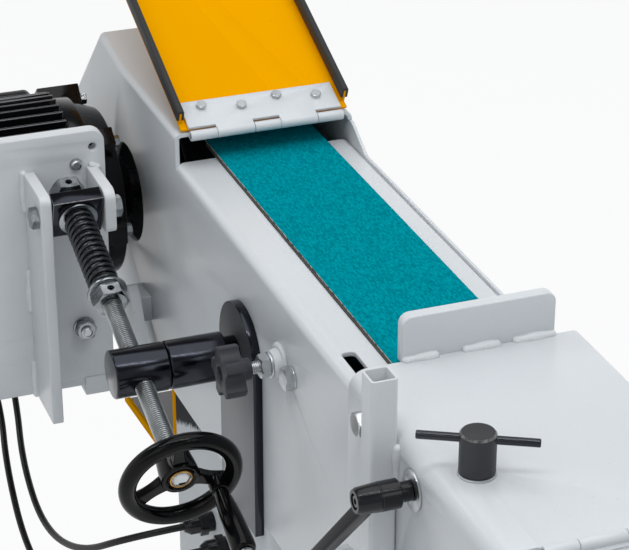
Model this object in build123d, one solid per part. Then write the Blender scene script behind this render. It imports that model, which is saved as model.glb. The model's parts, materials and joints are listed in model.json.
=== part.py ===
from build123d import *
import math
import os

# Belt and pipe grinder, millimetres. Everything is modelled in the head frame and moved to the floor frame
# when it is written: X = 0 is the middle of the housing, Y = 0 lies just behind the cover hinge,
# Z = 0 is the belt's grinding face, and the front of the machine is toward -Y.

# Belt, drive wheel and contact roller
belt_height = 940.0
belt_width = 100.0
belt_thick = 1.0
belt_loop = 2000.0
belt_gap = 0.3
belt_middle = 6.0
pad_show = 1.5
pad_end_y = 20.0
tongue_end_y = 30.0
tongue_inset = 2.0
wheel_radius = 90.0
wheel_y = 152.0
wheel_wall = 11.0
wheel_web = 10.0
wheel_hub = 28.0
wheel_hub_right = 30.0
roller_radius = 25.0
roller_overhang = 1.0
bearing_radius = 17.5
bearing_width = 11.0
axle_radius = 7.5

# Housing
housing_width = 164.0
sheet = 4.0
seam = 0.5
hood_front_y = -6.7
hood_top = 24.0
rise_y = 165.0
crest_y = 232.0
crest_z = 33.0
rear_y = 325.0
rear_slope = 43.0
rear_bend = 6.0
rear_right_bend = 10.0
platform_top = -3.0
platform_bend = 8.5
platform_right_bend = 8.0
platform_flange = 30.0
bottom_rear_z = -250.0
bottom_front_z = -235.0
bottom_rear_y = 285.0
bottom_front_y = -290.0
rear_wall_foot = -200.0
nose_z = -140.0
slot_length = 37.0
slot_width = 11.0
slot_corner = 4.0
slot_left = 10.0
slot_front = 5.0
shaft_hole = 47.0
shaft_hole_shift = 4.5

# Front hood, stop plate, tube
front_edge_y = -417.0
hood_length = 251.0
front_top = 6.0
front_sheet = 3.0
front_bend = 14.0
front_right = 100.0
front_flange = 8.0
front_nose_z = -85.0
stop_width = 121.0
stop_left = -40.5
stop_height = 37.5
stop_thick = 10.0
stop_corner = 8.0
tube_side = 20.0
tube_wall = 2.0
tube_y = -500.0
tube_top = 49.0
tube_length = 199.0

# Door
door_sheet = 3.0
door_lip = -5.0
door_front_y = -640.0
door_gap = 0.3
door_pin_out = 4.5
door_leaf_depth = 34.0
door_leaf_height = 60.0
door_hinge_z = (-80.0, -165.0)
door_step_front = -45.0
door_step_rear = -12.0
door_step_soft = 14.0
door_corner = 15.0
handle_y = -350.0
handle_z = -70.0
handle_pitch = 100.0
handle_out = 32.0
handle_radius = 6.0
handle_post = 5.0

# Hinges of cover and flap
knuckle_radius = 4.5
pin_radius = 2.5
run_gap = 0.05
side_gap = 0.3
knuckle_short = 24.0
knuckle_long = 34.0
leaf_thick = 3.0
hinge_y = -13.5
hinge_z = 23.5
cover_angle = 22.5
cover_length = 390.0
cover_half = 76.5
cover_sheet = 2.0
cover_wall = 14.0
trim_width = 6.0
trim_height = 11.0
trim_top = 17.0
leaf_length = 37.0
cover_bolt_places = ((-52.0, 29.0), (-17.0, 23.0), (17.0, 29.0), (52.0, 23.0))
cover_bolt_radius = 2.5
cover_bolt_flats = 8.0
cover_bolt_head = 3.5
flap_hinge_x = 17.5
flap_hinge_out = 6.0
flap_sheet = 3.0
flap_half = 62.0
flap_knee = (-20.0, -20.0)
flap_drop = 62.0

# Clamp screw, clamp lever, tracking knob and wall bolts
clamp_x = -53.0
clamp_y = -575.0
clamp_radius = 12.5
clamp_height = 30.0
clamp_bar_radius = 3.0
clamp_bar_length = 82.0
clamp_bar_turn = -28.6
clamp_bar_z = 32.5
stud_radius = 5.0
washer_thick = 2.0
lever_y = -538.0
lever_z = -22.0
lever_neck_radius = 7.2
lever_neck = 9.0
lever_hub_radius = 10.5
lever_tip_radius = 9.2
lever_hub_length = 32.0
lever_arm_width = 12.0
lever_arm_thick = 10.0
lever_arm_length = 92.0
lever_arm_soft = 3.0
lever_arm_in = 14.0
lever_heading = (-0.339, 0.475, -0.812)
lever_washer = 15.0
clamp_washer = 13.25
knob_y = -276.0
knob_z = -60.0
knob_radius = 21.0
knob_length = 17.0
knob_out = 51.0
knob_neck_radius = 9.0
knob_neck = 8.0
knob_recess_radius = 6.0
knob_recess = 8.0
boss_radius = 14.0
boss_foot = 4.0
boss_length = 9.0
lock_washer = 10.5
lock_nut = 8.0
wall_bolt_places = ((-301.0, -60.0), (-451.0, -18.0))
wall_washer = 9.6
wall_washer_thick = 1.5

# Roller arm
arm_thick = 18.0
arm_rear_y = -262.0
arm_low = -78.0
arm_high = -42.0
arm_nose = -10.0
arm_bend_y = (-540.0, -555.0, -610.0)
arm_low_y = -600.0
arm_eye = 20.0
arm_pad_z = -14.0

# Tension spindle, measured from the block pivot toward the handwheel
spindle_x = -172.8
block_y = -7.0
block_z = -34.0
nut_y = -187.0
nut_z = -95.5
spindle_radius = 8.0
spindle_rear = -34.0
spindle_front = 308.0
block_thick = 15.0
block_high = 38.0
block_gap = 1.0
block_bore = 9.5
block_play = 0.3
collar_flats = 27.0
collar_length = 14.0
collar_rear = -31.0
grub_radius = 3.0
grub_depth = 4.0
plate_washer = 17.0
plate_washer_thick = 2.5
spring_radius = 13.5
wire_radius = 2.0
spring_length = 88.0
spring_turns = 13
bar_radius = 20.0
nut_half = 22.7
bar_shoulder_x = -101.0
bar_neck_radius = 15.0
bar_pin_radius = 10.0
bar_pin_length = 12.0
wheel_rim = 43.0
rim_radius = 7.0
rim_at = 307.0
hub_radius = 15.0
hub_length = 27.0
spoke_turn = -25.0
spoke_half = 6.0
spoke_thick = 8.0
grip_at = 34.0
grip_boss = 7.5
grip_cap = 6.0
grip_cap_thick = 3.0
grip_length = 60.0
grip_radii = (5.8, 7.6, 9.3, 9.8, 8.6)
grip_axle_radius = 4.0

# Bracket plate under the bar
bracket_radius = 43.0
bracket_thick = 8.0
bracket_foot = -248.0

# Motor carrier
plate_thick = 12.0
plate_left = -325.0
plate_right = -132.0
plate_top = 19.0
plate_foot = -232.0
plate_corner = 12.0
rib_x = -196.0
lug_x = -149.6
lug_thick = 10.0
lug_front_y = -19.0
rib_top = -12.0
lug_top = -14.0
lug_foot = -54.0
rib_corner = 8.0
lug_corner = 10.0
lug_low_corner = 6.0
pivot_y = 47.0
pivot_z = -233.0
sleeve_left = -160.0
sleeve_right = -108.0
sleeve_low = 10.0
sleeve_high = 9.0
sleeve_rear = 5.0
pivot_radius = 5.0
pivot_flange = 15.0
gusset_left = -107.0
gusset_right = -97.0
gusset_eye = 12.0
gusset_outline = ((51.5, -195.0), (57.8, -182.0), (67.3, -165.0), (77.0, -157.0), (100.0, -176.0),
                  (125.0, -205.0), (95.0, -232.0))
gusset_block = (84.0, 115.0, -201.0, -176.0)
motor_foot = 100.0
motor_core = 88.0
fin_height = 9.0
fin_count = 50
fin_thick = 2.4
body_left = -378.0
shield_left = -146.0
shield_seam = -130.0
shield_right = -104.0
shield_radius = 91.0
dome_radius = 87.0
face_radius = 77.0
face_soft = 4.0
pilot_radius = 52.0
pilot_right = -99.0
bearing_hub_radius = 29.0
bearing_hub_right = -85.0
ear_right = -110.0
ear_width = 18.0
ear_foot = 78.0
ear_back = 4.0
ear_flats = 10.0
ear_head = 6.5
ear_places = ((51.0, 90.0, 103.0), (128.0, 90.0, 103.0), (182.0, 86.0, 97.0), (309.0, 90.0, 103.0))
cowl_left = -412.0
cowl_radius = 97.0
cowl_slots = 12
cowl_slot_length = 38.0
cowl_slot_width = 6.0
cowl_slot_at = 52.0
neck_reach = 101.0
neck_half = 38.0
neck_inset = 10.0
box_left = -237.0
box_right = -137.0
box_half = 51.0
box_depth = 46.0
box_lid = 14.0
box_step = 2.0
box_corner = 7.0
foot_x = -158.6
foot_pitch_x = 140.0
foot_pitch_z = 160.0
foot_half = 20.0
foot_height = 16.0
foot_thick = 12.0
leg_half = 12.0
leg_reach = 60.0
leg_in = 45.0
stud_out = 3.5
foot_washer = 10.0
foot_washer_thick = 2.0
foot_nut = 8.0
shaft_radius = 14.0
bolt_radius = 5.0
bolt_flats = 17.0
bolt_head = 7.0

# Stand
stand_setback = 110.0
base_width = 420.0
base_depth = 560.0
base_thick = 12.0
base_corner = 20.0
anchor_inset = 30.0
anchor_radius = 7.0
column_rear_y = 24.0
column_front_y = -240.0
column_wall = 4.0
column_corner = 10.0
column_ports = ((-90.0, -318.0), (-140.0, -313.0))
gland_length = 28.0
gland_radius = 10.0
cable_radius = 3.2
guard_sheet = 3.0
guard_lip = 6.0
guard_front_z = -330.0
guard_rear_y = 195.0
guard_rear_z = -345.0

# Values that follow from the sizes above
half = housing_width / 2.0
wall_in = -half + sheet
inner_right = half - door_sheet - seam
floor_z = -belt_height
wheel_z = -belt_thick - belt_gap - wheel_radius
roller_z = -belt_thick - belt_gap - roller_radius


def loop_span():
    """Distance along Y between the two axes for the wanted length of belt."""
    big = wheel_radius + belt_gap + belt_thick / 2.0
    small = roller_radius + belt_gap + belt_thick / 2.0
    span = 0.4 * belt_loop
    for _ in range(40):
        gamma = math.asin((big - small) / math.hypot(span, big - small))
        wrap = (math.pi + 2.0 * gamma) * big + (math.pi - 2.0 * gamma) * small
        span = (belt_loop - wrap) / 2.0
    return span


roller_y = wheel_y - loop_span()
hood_front = front_edge_y - hood_length
motor_y = wheel_y
motor_z = wheel_z
plate_rear_y = motor_y - motor_foot
plate_front_y = plate_rear_y - plate_thick
tilt = math.atan2(block_z - nut_z, block_y - nut_y)
spindle_frame = Plane(
    origin=(spindle_x, block_y, block_z),
    x_dir=(1, 0, 0),
    z_dir=(0, -math.cos(tilt), -math.sin(tilt)),
)
nut_at = math.hypot(block_y - nut_y, block_z - nut_z)


def box(x0, x1, y0, y1, z0, z1):
    middle = Pos((x0 + x1) / 2.0, (y0 + y1) / 2.0, (z0 + z1) / 2.0)
    return middle * Box(x1 - x0, y1 - y0, z1 - z0)


def along_x(radius, x0, x1, y, z):
    rod = Cylinder(radius, x1 - x0, align=(Align.CENTER, Align.CENTER, Align.MIN))
    return Pos(x0, y, z) * Rot(0, 90, 0) * rod


def along_z(radius, z0, z1, x=0.0, y=0.0):
    rod = Cylinder(radius, z1 - z0, align=(Align.CENTER, Align.CENTER, Align.MIN))
    return Pos(x, y, z0) * rod


def hexagon(flats, length):
    """Hexagonal prism standing on Z = 0."""
    return extrude(RegularPolygon(flats / 2.0, 6, major_radius=False), length)


def hex_x(flats, x0, x1, y, z):
    return Pos(x0, y, z) * Rot(0, 90, 0) * hexagon(flats, x1 - x0)


def side_prism(points, x0, x1):
    """Solid between two X values whose outline is given by (y, z) points."""
    face = Plane.YZ.offset(x0) * Polygon(*points, align=None)
    return extrude(face, x1 - x0, dir=(1, 0, 0))


def offset_path(points, distance):
    """The (y, z) path moved sideways, to the right of its direction of travel."""
    lines = []
    for (y0, z0), (y1, z1) in zip(points, points[1:]):
        length = math.hypot(y1 - y0, z1 - z0)
        ny = (z1 - z0) / length
        nz = -(y1 - y0) / length
        lines.append((y0 + ny * distance, z0 + nz * distance, (y1 - y0) / length, (z1 - z0) / length))
    moved = [(lines[0][0], lines[0][1])]
    for (ay, az, ady, adz), (by, bz, bdy, bdz) in zip(lines, lines[1:]):
        cross = ady * bdz - adz * bdy
        t = ((by - ay) * bdz - (bz - az) * bdy) / cross
        moved.append((ay + t * ady, az + t * adz))
    end_y, end_z = points[-1]
    moved.append((end_y + lines[-1][3] * distance, end_z - lines[-1][2] * distance))
    return moved


def cut_at_y(path, y, last):
    """Moves the first or last point of a path along its run until it stands at the given Y."""
    a, b = (path[-2], path[-1]) if last else (path[1], path[0])
    t = (y - a[0]) / (b[0] - a[0])
    point = (y, a[1] + t * (b[1] - a[1]))
    return path[:-1] + [point] if last else [point] + path[1:]


def strip(path, thick, x0, x1):
    """Bent sheet along a (y, z) path, its thickness on the right of the direction of travel."""
    return side_prism(path + offset_path(path, thick)[::-1], x0, x1)


# The ridge line of the rear hood, from its front edge over the crest to the rear wall
rear_drop = (rear_y - crest_y) * math.tan(math.radians(rear_slope))
ridge = [(hood_front_y, hood_top), (rise_y, hood_top), (crest_y, crest_z), (rear_y, crest_z - rear_drop)]


def ridge_below(distance):
    path = cut_at_y(offset_path(ridge, distance), hood_front_y, False)
    return cut_at_y(path, rear_y, True)


def bottom_z(y):
    share = (y - bottom_front_y) / (bottom_rear_y - bottom_front_y)
    return bottom_front_z + share * (bottom_rear_z - bottom_front_z)


bottom_path = [
    (rear_y, rear_wall_foot),
    (bottom_rear_y, bottom_rear_z),
    (bottom_front_y, bottom_front_z),
    (front_edge_y, nose_z),
]


def half_channel(left, right, top, thick, bend_left, bend_right, leg_left, leg_right):
    """Cross-section of a folded sheet in (x, z): left leg, bend, top, bend, right leg."""
    il = left + thick
    ir = right - thick
    it = top - thick
    in_left = bend_left - thick
    in_right = bend_right - thick
    edges = []

    def straight(start, end):
        if math.dist(start, end) > 0.001:
            edges.append(Line(start, end))

    straight((left, top - leg_left), (left, top - bend_left))
    edges.append(RadiusArc((left, top - bend_left), (left + bend_left, top), bend_left))
    straight((left + bend_left, top), (right - bend_right, top))
    edges.append(RadiusArc((right - bend_right, top), (right, top - bend_right), bend_right))
    straight((right, top - bend_right), (right, top - leg_right))
    straight((right, top - leg_right), (ir, top - leg_right))
    straight((ir, top - leg_right), (ir, it - in_right))
    edges.append(RadiusArc((ir, it - in_right), (ir - in_right, it), -in_right))
    straight((ir - in_right, it), (il + in_left, it))
    edges.append(RadiusArc((il + in_left, it), (il, it - in_left), -in_left))
    straight((il, it - in_left), (il, top - leg_left))
    straight((il, top - leg_left), (left, top - leg_left))
    return make_face(edges)


parts = {}

# Stand
stand_y = -stand_setback
base = extrude(RectangleRounded(base_width, base_depth, base_corner), base_thick)
anchors = GridLocations(base_width - 2.0 * anchor_inset, base_depth - 2.0 * anchor_inset, 2, 2)
base -= anchors * along_z(anchor_radius, -1.0, base_thick + 1.0)
parts["base_plate"] = Pos(0, stand_y, floor_z) * base

column_foot = floor_z + base_thick
column_outline = [
    (column_rear_y, bottom_z(column_rear_y)),
    (column_front_y, bottom_z(column_front_y)),
    (column_front_y, column_foot),
    (column_rear_y, column_foot),
]
column = side_prism(column_outline, -half, half)
column = fillet(column.edges().filter_by(Axis.Z), column_corner)
hollow = box(
    -half + column_wall,
    half - column_wall,
    column_front_y + column_wall,
    column_rear_y - column_wall,
    column_foot - 10.0,
    0.0,
)
hollow = fillet(hollow.edges().filter_by(Axis.Z), column_corner - column_wall)
parts["column"] = column - hollow

# Housing sheets
wall_top = ridge_below(rear_bend)
lap_z = front_top - front_bend
lap_share = (front_edge_y - tube_y) / hood_length
lap_foot = nose_z + lap_share * (front_nose_z - nose_z)
wall_outline = wall_top + bottom_path + [
    (tube_y, lap_foot),
    (tube_y, lap_z),
    (front_edge_y, lap_z),
    (front_edge_y, platform_top - platform_bend),
    (hood_front_y, platform_top - platform_bend),
]
left_wall = side_prism(wall_outline, -half, wall_in)
hole_y = wheel_y - shaft_hole_shift
hole_z = wheel_z - shaft_hole_shift
left_wall -= along_x(shaft_hole, -half - 1.0, wall_in + 1.0, hole_y, hole_z)
left_wall -= along_x(stud_radius + 0.5, -half - 1.0, wall_in + 1.0, knob_y, knob_z)
left_wall -= along_x(pivot_radius, -half - 1.0, wall_in + 1.0, pivot_y, pivot_z)

section = half_channel(
    -half, inner_right, platform_top, sheet,
    platform_bend, platform_right_bend, platform_bend, platform_flange,
)
section = Plane.XZ.offset(-hood_front_y) * section
platform = extrude(section, hood_front_y - front_edge_y, dir=(0, -1, 0))
belt_left = belt_middle - belt_width / 2.0
platform += box(
    belt_left + tongue_inset, belt_left + belt_width - tongue_inset, hood_front_y, tongue_end_y,
    platform_top - sheet, platform_top,
)
slot_x = -half + slot_left + slot_width / 2.0
slot_y = front_edge_y + slot_front + slot_length / 2.0
slot = extrude(RectangleRounded(slot_width, slot_length, slot_corner), 2.0 * platform_bend)
platform -= Pos(slot_x, slot_y, platform_top - platform_bend) * slot
parts["platform"] = platform

hood_section = half_channel(
    -half, half, 0.0, sheet, rear_bend, rear_right_bend, rear_bend, rear_right_bend
)
rear_hood = None
for index, (start, end) in enumerate(zip(ridge, ridge[1:])):
    run = Vector(0, end[0] - start[0], end[1] - start[1])
    length = run.length
    run = run.normalized()
    frame = Plane(origin=(0, start[0], start[1]), x_dir=(1, 0, 0), z_dir=tuple(run * -1.0))
    long_run = extrude(frame.offset(60.0) * hood_section, length + 120.0, dir=tuple(run))
    ends = []
    for corner in (index, index + 1):
        here = ridge[corner]
        if corner == 0 or corner == len(ridge) - 1:
            ends.append((here, (0.0, 1.0)))
            continue
        before = ridge[corner - 1]
        after = ridge[corner + 1]
        a = Vector(here[0] - before[0], here[1] - before[1], 0).normalized()
        b = Vector(after[0] - here[0], after[1] - here[1], 0).normalized()
        mean = (a + b).normalized()
        ends.append((here, (-mean.Y, mean.X)))
    (p, pn), (q, qn) = ends
    reach = 50.0
    region = [
        (p[0] + pn[0] * reach, p[1] + pn[1] * reach),
        (q[0] + qn[0] * reach, q[1] + qn[1] * reach),
        (q[0] - qn[0] * reach, q[1] - qn[1] * reach),
        (p[0] - pn[0] * reach, p[1] - pn[1] * reach),
    ]
    piece = long_run & side_prism(region, -half - 5.0, half + 5.0)
    rear_hood = piece if rear_hood is None else rear_hood + piece
parts["rear_hood"] = rear_hood

under = ridge_below(sheet)
tray_path = [under[-1]] + bottom_path
tray = strip(tray_path, sheet, wall_in, inner_right) - rear_hood
parts["bottom_tray"] = tray.solids().sort_by(SortBy.VOLUME)[-1]

# Front hood with its fixed hinge knuckles
front_section = half_channel(
    -half, front_right, front_top, front_sheet, front_bend, 5.0, front_top - nose_z, front_flange
)
front_hood = extrude(Plane.XZ.offset(-front_edge_y) * front_section, hood_length, dir=(0, -1, 0))
front_hood -= side_prism(
    [(front_edge_y + 1.0, nose_z), (hood_front - 1.0, front_nose_z), (hood_front - 1.0, nose_z - 10.0),
     (front_edge_y + 1.0, nose_z - 10.0)],
    -half - 1.0,
    -half + front_sheet + 1.0,
)
front_hood -= box(-half - 1.0, wall_in, tube_y, front_edge_y + 1.0, nose_z - 10.0, lap_z)
front_hood -= along_z(stud_radius + 1.0, front_top - 10.0, front_top + 1.0, clamp_x, clamp_y)
front_hood -= along_x(stud_radius + 0.5, -half - 1.0, -half + front_sheet + 1.0, lever_y, lever_z)


def knuckle_spans(middle):
    """X spans of the five knuckles, fixed ones first."""
    total = 3.0 * knuckle_short + 2.0 * knuckle_long
    x = middle - total / 2.0
    fixed = []
    moving = []
    for number in range(5):
        width = knuckle_long if number % 2 else knuckle_short
        spans = moving if number % 2 else fixed
        gap = side_gap / 2.0
        spans.append((x + (gap if number else 0.0), x + width - (gap if number < 4 else 0.0)))
        x += width
    return fixed, moving


flap_y = hood_front - flap_hinge_out
flap_z = front_top - 1.0
flap_fixed, flap_moving = knuckle_spans(flap_hinge_x)
for x0, x1 in flap_fixed:
    knuckle = along_x(knuckle_radius, x0, x1, flap_y, flap_z)
    knuckle += box(x0, x1, flap_y, hood_front, front_top - front_sheet, front_top)
    front_hood += knuckle - along_x(pin_radius, x0 - 1.0, x1 + 1.0, flap_y, flap_z)
parts["front_hood"] = front_hood

stop = Plane.XZ.offset(-front_edge_y - stop_thick) * RectangleRounded(stop_width, stop_height, stop_corner)
stop = extrude(stop, stop_thick, dir=(0, -1, 0))
stop = Pos(stop_left + stop_width / 2.0, 0, front_top - front_sheet + stop_height / 2.0) * stop
stop += box(
    stop_left, stop_left + stop_width, front_edge_y, front_edge_y + stop_thick,
    front_top - front_sheet, front_top - front_sheet + stop_height / 2.0,
)
parts["stop_plate"] = stop

tube_face = RectangleRounded(tube_side, tube_side, 3.0) - RectangleRounded(
    tube_side - 2.0 * tube_wall, tube_side - 2.0 * tube_wall, 1.5
)
tube_x = -half - tube_side / 2.0
parts["square_tube"] = Pos(tube_x, tube_y, tube_top - tube_length) * extrude(tube_face, tube_length)

# Access door with its hinge halves
door_top = ridge_below(rear_right_bend + door_gap)
door_outline = door_top[:-1] + [
    (rear_y - door_gap, door_top[-1][1] + 0.5),
    (rear_y - door_gap, rear_wall_foot),
    (bottom_rear_y, bottom_rear_z),
    (bottom_front_y, bottom_front_z),
    (front_edge_y, nose_z),
    (door_front_y, front_nose_z - 10.0),
    (door_front_y, door_lip),
    (door_step_front, door_lip),
    (door_step_rear, door_top[0][1]),
]
door_x = half - door_sheet
door_face = Polygon(*door_outline, align=None)
steps = (door_step_front, door_step_rear)
soft = [v for v in door_face.vertices() if min(abs(v.X - step) for step in steps) < 0.1]
door_face = fillet(soft, door_step_soft)
nose = [v for v in door_face.vertices() if abs(v.X - door_front_y) < 0.1]
door_face = fillet(nose, door_corner)
parts["access_door"] = extrude(Plane.YZ.offset(door_x) * door_face, door_sheet, dir=(1, 0, 0))

pin_x = half + door_pin_out
pin_y = rear_y + door_pin_out
fixed_leaves = []
moving_leaves = []
door_pins = []
for z in door_hinge_z:
    top = z + door_leaf_height / 2.0
    low = z - door_leaf_height / 2.0
    split_low = z - side_gap / 2.0
    split_high = z + side_gap / 2.0
    clear = pin_x - knuckle_radius - 0.5
    fixed = box(clear - door_leaf_depth, clear, rear_y, rear_y + leaf_thick, low, top)
    fixed += box(clear - 1.0, pin_x, rear_y, rear_y + leaf_thick, low, split_low)
    fixed += along_z(knuckle_radius, low, split_low, pin_x, pin_y)
    fixed_leaves.append(fixed - along_z(pin_radius, low - 1.0, top + 1.0, pin_x, pin_y))
    moving = box(half, half + leaf_thick, rear_y - 1.0 - door_leaf_depth, rear_y - 1.0, low, top)
    moving += box(half, half + leaf_thick, rear_y - 2.0, pin_y, split_high, top)
    moving += along_z(knuckle_radius, split_high, top, pin_x, pin_y)
    moving_leaves.append(moving - along_z(pin_radius + run_gap, low - 1.0, top + 1.0, pin_x, pin_y))
    door_pins.append(along_z(pin_radius, low, top, pin_x, pin_y))
parts["door_hinge_leaves"] = Compound(fixed_leaves)
parts["door_leaves"] = Compound(moving_leaves)

handle_x = half + handle_out
handle = Pos(handle_x, handle_y, handle_z) * Rot(90, 0, 0)
handle *= Cylinder(handle_radius, handle_pitch + 14.0)
for end in (-0.5, 0.5):
    handle += along_x(handle_post, half, handle_x, handle_y + end * handle_pitch, handle_z)
parts["door_handle"] = handle

# Belt cover on its hinge, modelled lying flat and then swung open
cover_place = Pos(0, hinge_y, hinge_z) * Rot(cover_angle, 0, 0)
fixed_spans, moving_spans = knuckle_spans(0.0)
hinge_half = fixed_spans[-1][1]
strip_front = hinge_y + knuckle_radius + 0.4
fixed_leaf = box(-hinge_half, hinge_half, strip_front, hood_front_y, hood_top - sheet, hood_top)
for x0, x1 in fixed_spans:
    fixed_leaf += along_x(knuckle_radius, x0, x1, hinge_y, hinge_z)
    fixed_leaf += box(x0, x1, hinge_y, strip_front, hood_top - sheet, hood_top - 1.0)
fixed_leaf -= along_x(pin_radius, -hinge_half - 1.0, hinge_half + 1.0, hinge_y, hinge_z)
parts["cover_hinge_leaf"] = fixed_leaf

leaf_top = knuckle_radius
leaf_low = leaf_top - leaf_thick
moving_leaf = box(-hinge_half, hinge_half, knuckle_radius + 1.5, leaf_length, leaf_low, leaf_top)
for x0, x1 in moving_spans:
    moving_leaf += along_x(knuckle_radius, x0, x1, 0, 0)
    moving_leaf += box(x0, x1, 0, knuckle_radius + 2.0, leaf_low, leaf_top)
moving_leaf -= along_x(pin_radius + run_gap, -hinge_half - 1.0, hinge_half + 1.0, 0, 0)
panel_low = leaf_low - cover_sheet
panel = box(-cover_half, cover_half, 7.0, cover_length, panel_low, leaf_low)
for side in (-1.0, 1.0):
    outer = side * cover_half
    inner = side * (cover_half - cover_sheet)
    panel += box(min(outer, inner), max(outer, inner), 14.0, cover_length, panel_low, cover_wall)
panel += box(-cover_half, cover_half, cover_length - cover_sheet, cover_length, panel_low, 12.0)
cover_bolts = []
for x, v in cover_bolt_places:
    hole = along_z(cover_bolt_radius, panel_low - 1.0, leaf_top + 1.0, x, v)
    moving_leaf -= hole
    panel -= hole
    bolt = Pos(x, v, leaf_top) * hexagon(cover_bolt_flats, cover_bolt_head)
    bolt += along_z(cover_bolt_radius, panel_low, leaf_top, x, v)
    cover_bolts.append(cover_place * bolt)
trims = []
for side in (-1.0, 1.0):
    middle = side * (cover_half - cover_sheet / 2.0)
    trim = box(
        middle - trim_width / 2.0, middle + trim_width / 2.0, 14.0, cover_length - cover_sheet,
        trim_top - trim_height, trim_top,
    )
    trim = fillet(trim.edges().filter_by(Axis.Y).group_by(Axis.Z)[-1], 2.5)
    trim -= box(
        middle - cover_sheet / 2.0, middle + cover_sheet / 2.0, 0.0, cover_length + 1.0, 0.0, cover_wall
    )
    trims.append(cover_place * (trim - panel))
parts["belt_cover"] = cover_place * panel
parts["cover_leaf"] = cover_place * moving_leaf
parts["cover_bolts"] = Compound(cover_bolts)
parts["cover_trim"] = Compound(trims)

# Front flap
knee = (flap_y + flap_knee[0], flap_z + flap_knee[1])
flap_start = (flap_y - 4.5, flap_z - 4.5)
flap_path = [flap_start, knee, (knee[0], knee[1] - flap_drop)]
flap = strip(flap_path, -flap_sheet, flap_hinge_x - flap_half, flap_hinge_x + flap_half)
for x0, x1 in flap_moving:
    flap += along_x(knuckle_radius, x0, x1, flap_y, flap_z)
    flap += side_prism(
        [(flap_y, flap_z - 1.0), (flap_y - 1.0, flap_z), (flap_start[0] - 1.5, flap_start[1] + 0.5),
         (flap_start[0] + 0.5, flap_start[1] - 1.5)],
        x0, x1,
    )
for x0, x1 in flap_fixed:
    flap -= along_x(knuckle_radius + 0.5, x0 - side_gap, x1 + side_gap, flap_y, flap_z)
flap -= along_x(pin_radius + run_gap, flap_hinge_x - 90.0, flap_hinge_x + 90.0, flap_y, flap_z)
parts["front_flap"] = flap

pins = [
    along_x(pin_radius, -hinge_half, hinge_half, hinge_y, hinge_z),
    along_x(pin_radius, flap_fixed[0][0], flap_fixed[-1][1], flap_y, flap_z),
]
parts["hinge_pins"] = Compound(pins + door_pins)

# Clamp screw and bar on the hood, clamp lever on its wall
washer_top = front_top + washer_thick
head = along_z(clamp_radius, washer_top, washer_top + clamp_height, clamp_x, clamp_y)
head = chamfer(head.edges().filter_by(GeomType.CIRCLE), 1.0)
head += along_z(stud_radius, arm_pad_z + 0.3, washer_top + 1.0, clamp_x, clamp_y)
bar_place = Pos(clamp_x, clamp_y, clamp_bar_z) * Rot(0, 0, clamp_bar_turn) * Rot(0, 90, 0)
clamp_bar = bar_place * Cylinder(clamp_bar_radius, clamp_bar_length)
parts["clamp_screw"] = head - clamp_bar
parts["clamp_bar"] = clamp_bar

neck_left = -half - washer_thick - lever_neck
lever_left = neck_left - lever_hub_length
lever_hub = Cone(
    lever_tip_radius, lever_hub_radius, lever_hub_length, align=(Align.CENTER, Align.CENTER, Align.MIN)
)
lever_hub = Pos(lever_left, lever_y, lever_z) * Rot(0, 90, 0) * lever_hub
lever_hub = fillet(lever_hub.edges().filter_by(GeomType.CIRCLE), 1.5)
arm_frame = Plane(
    origin=(lever_left + lever_arm_in, lever_y, lever_z), x_dir=(1, 0, 0), z_dir=lever_heading
)
lever_arm = box(
    -lever_arm_width / 2.0, lever_arm_width / 2.0, -lever_arm_thick / 2.0, lever_arm_thick / 2.0,
    0.0, lever_arm_length,
)
lever_arm = fillet(lever_arm.edges().filter_by(Axis.Z), lever_arm_soft)
lever_arm = fillet(lever_arm.faces().sort_by(Axis.Z)[-1].edges(), 0.9 * lever_arm_soft)
lever_hub += arm_frame * lever_arm
lever_hub -= along_x(0.6 * lever_tip_radius, lever_left - 20.0, lever_left + 3.0, lever_y, lever_z)
lever_hub += along_x(0.48 * lever_tip_radius, lever_left + 1.0, lever_left + 4.0, lever_y, lever_z)
lever_hub += along_x(lever_neck_radius, neck_left - 1.0, -half - washer_thick, lever_y, lever_z)
lever_hub += along_x(stud_radius, -half - washer_thick - 1.0, -half + front_sheet + 6.0, lever_y, lever_z)
parts["clamp_lever"] = lever_hub

# Tracking knob, its stud and boss, and the bolts in the wall
boss_left = -half - boss_length
boss = along_x(boss_radius, -half - boss_foot, -half, knob_y, knob_z)
boss += along_x(lock_washer + 1.0, boss_left, -half, knob_y, knob_z)
parts["tracking_boss"] = boss - along_x(stud_radius + run_gap, boss_left - 1.0, -half + 1.0, knob_y, knob_z)
knob_face = -half - knob_out
knob = along_x(0.7 * knob_radius, knob_face, knob_face + knob_length, knob_y, knob_z)
for number in range(5):
    turn = math.radians(36.0 + 72.0 * number)
    lobe_y = knob_y - 0.6 * knob_radius * math.cos(turn)
    lobe_z = knob_z + 0.6 * knob_radius * math.sin(turn)
    knob += along_x(0.4 * knob_radius, knob_face, knob_face + knob_length, lobe_y, lobe_z)
knob += along_x(knob_neck_radius, knob_face, knob_face + knob_length + knob_neck, knob_y, knob_z)
knob -= along_x(knob_recess_radius, knob_face - 1.0, knob_face + knob_recess, knob_y, knob_z)
knob -= along_x(stud_radius, knob_face, knob_face + knob_out, knob_y, knob_z)
parts["tracking_knob"] = knob
parts["tracking_stud"] = along_x(stud_radius, knob_face + knob_recess, wall_in - 0.3, knob_y, knob_z)

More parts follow.
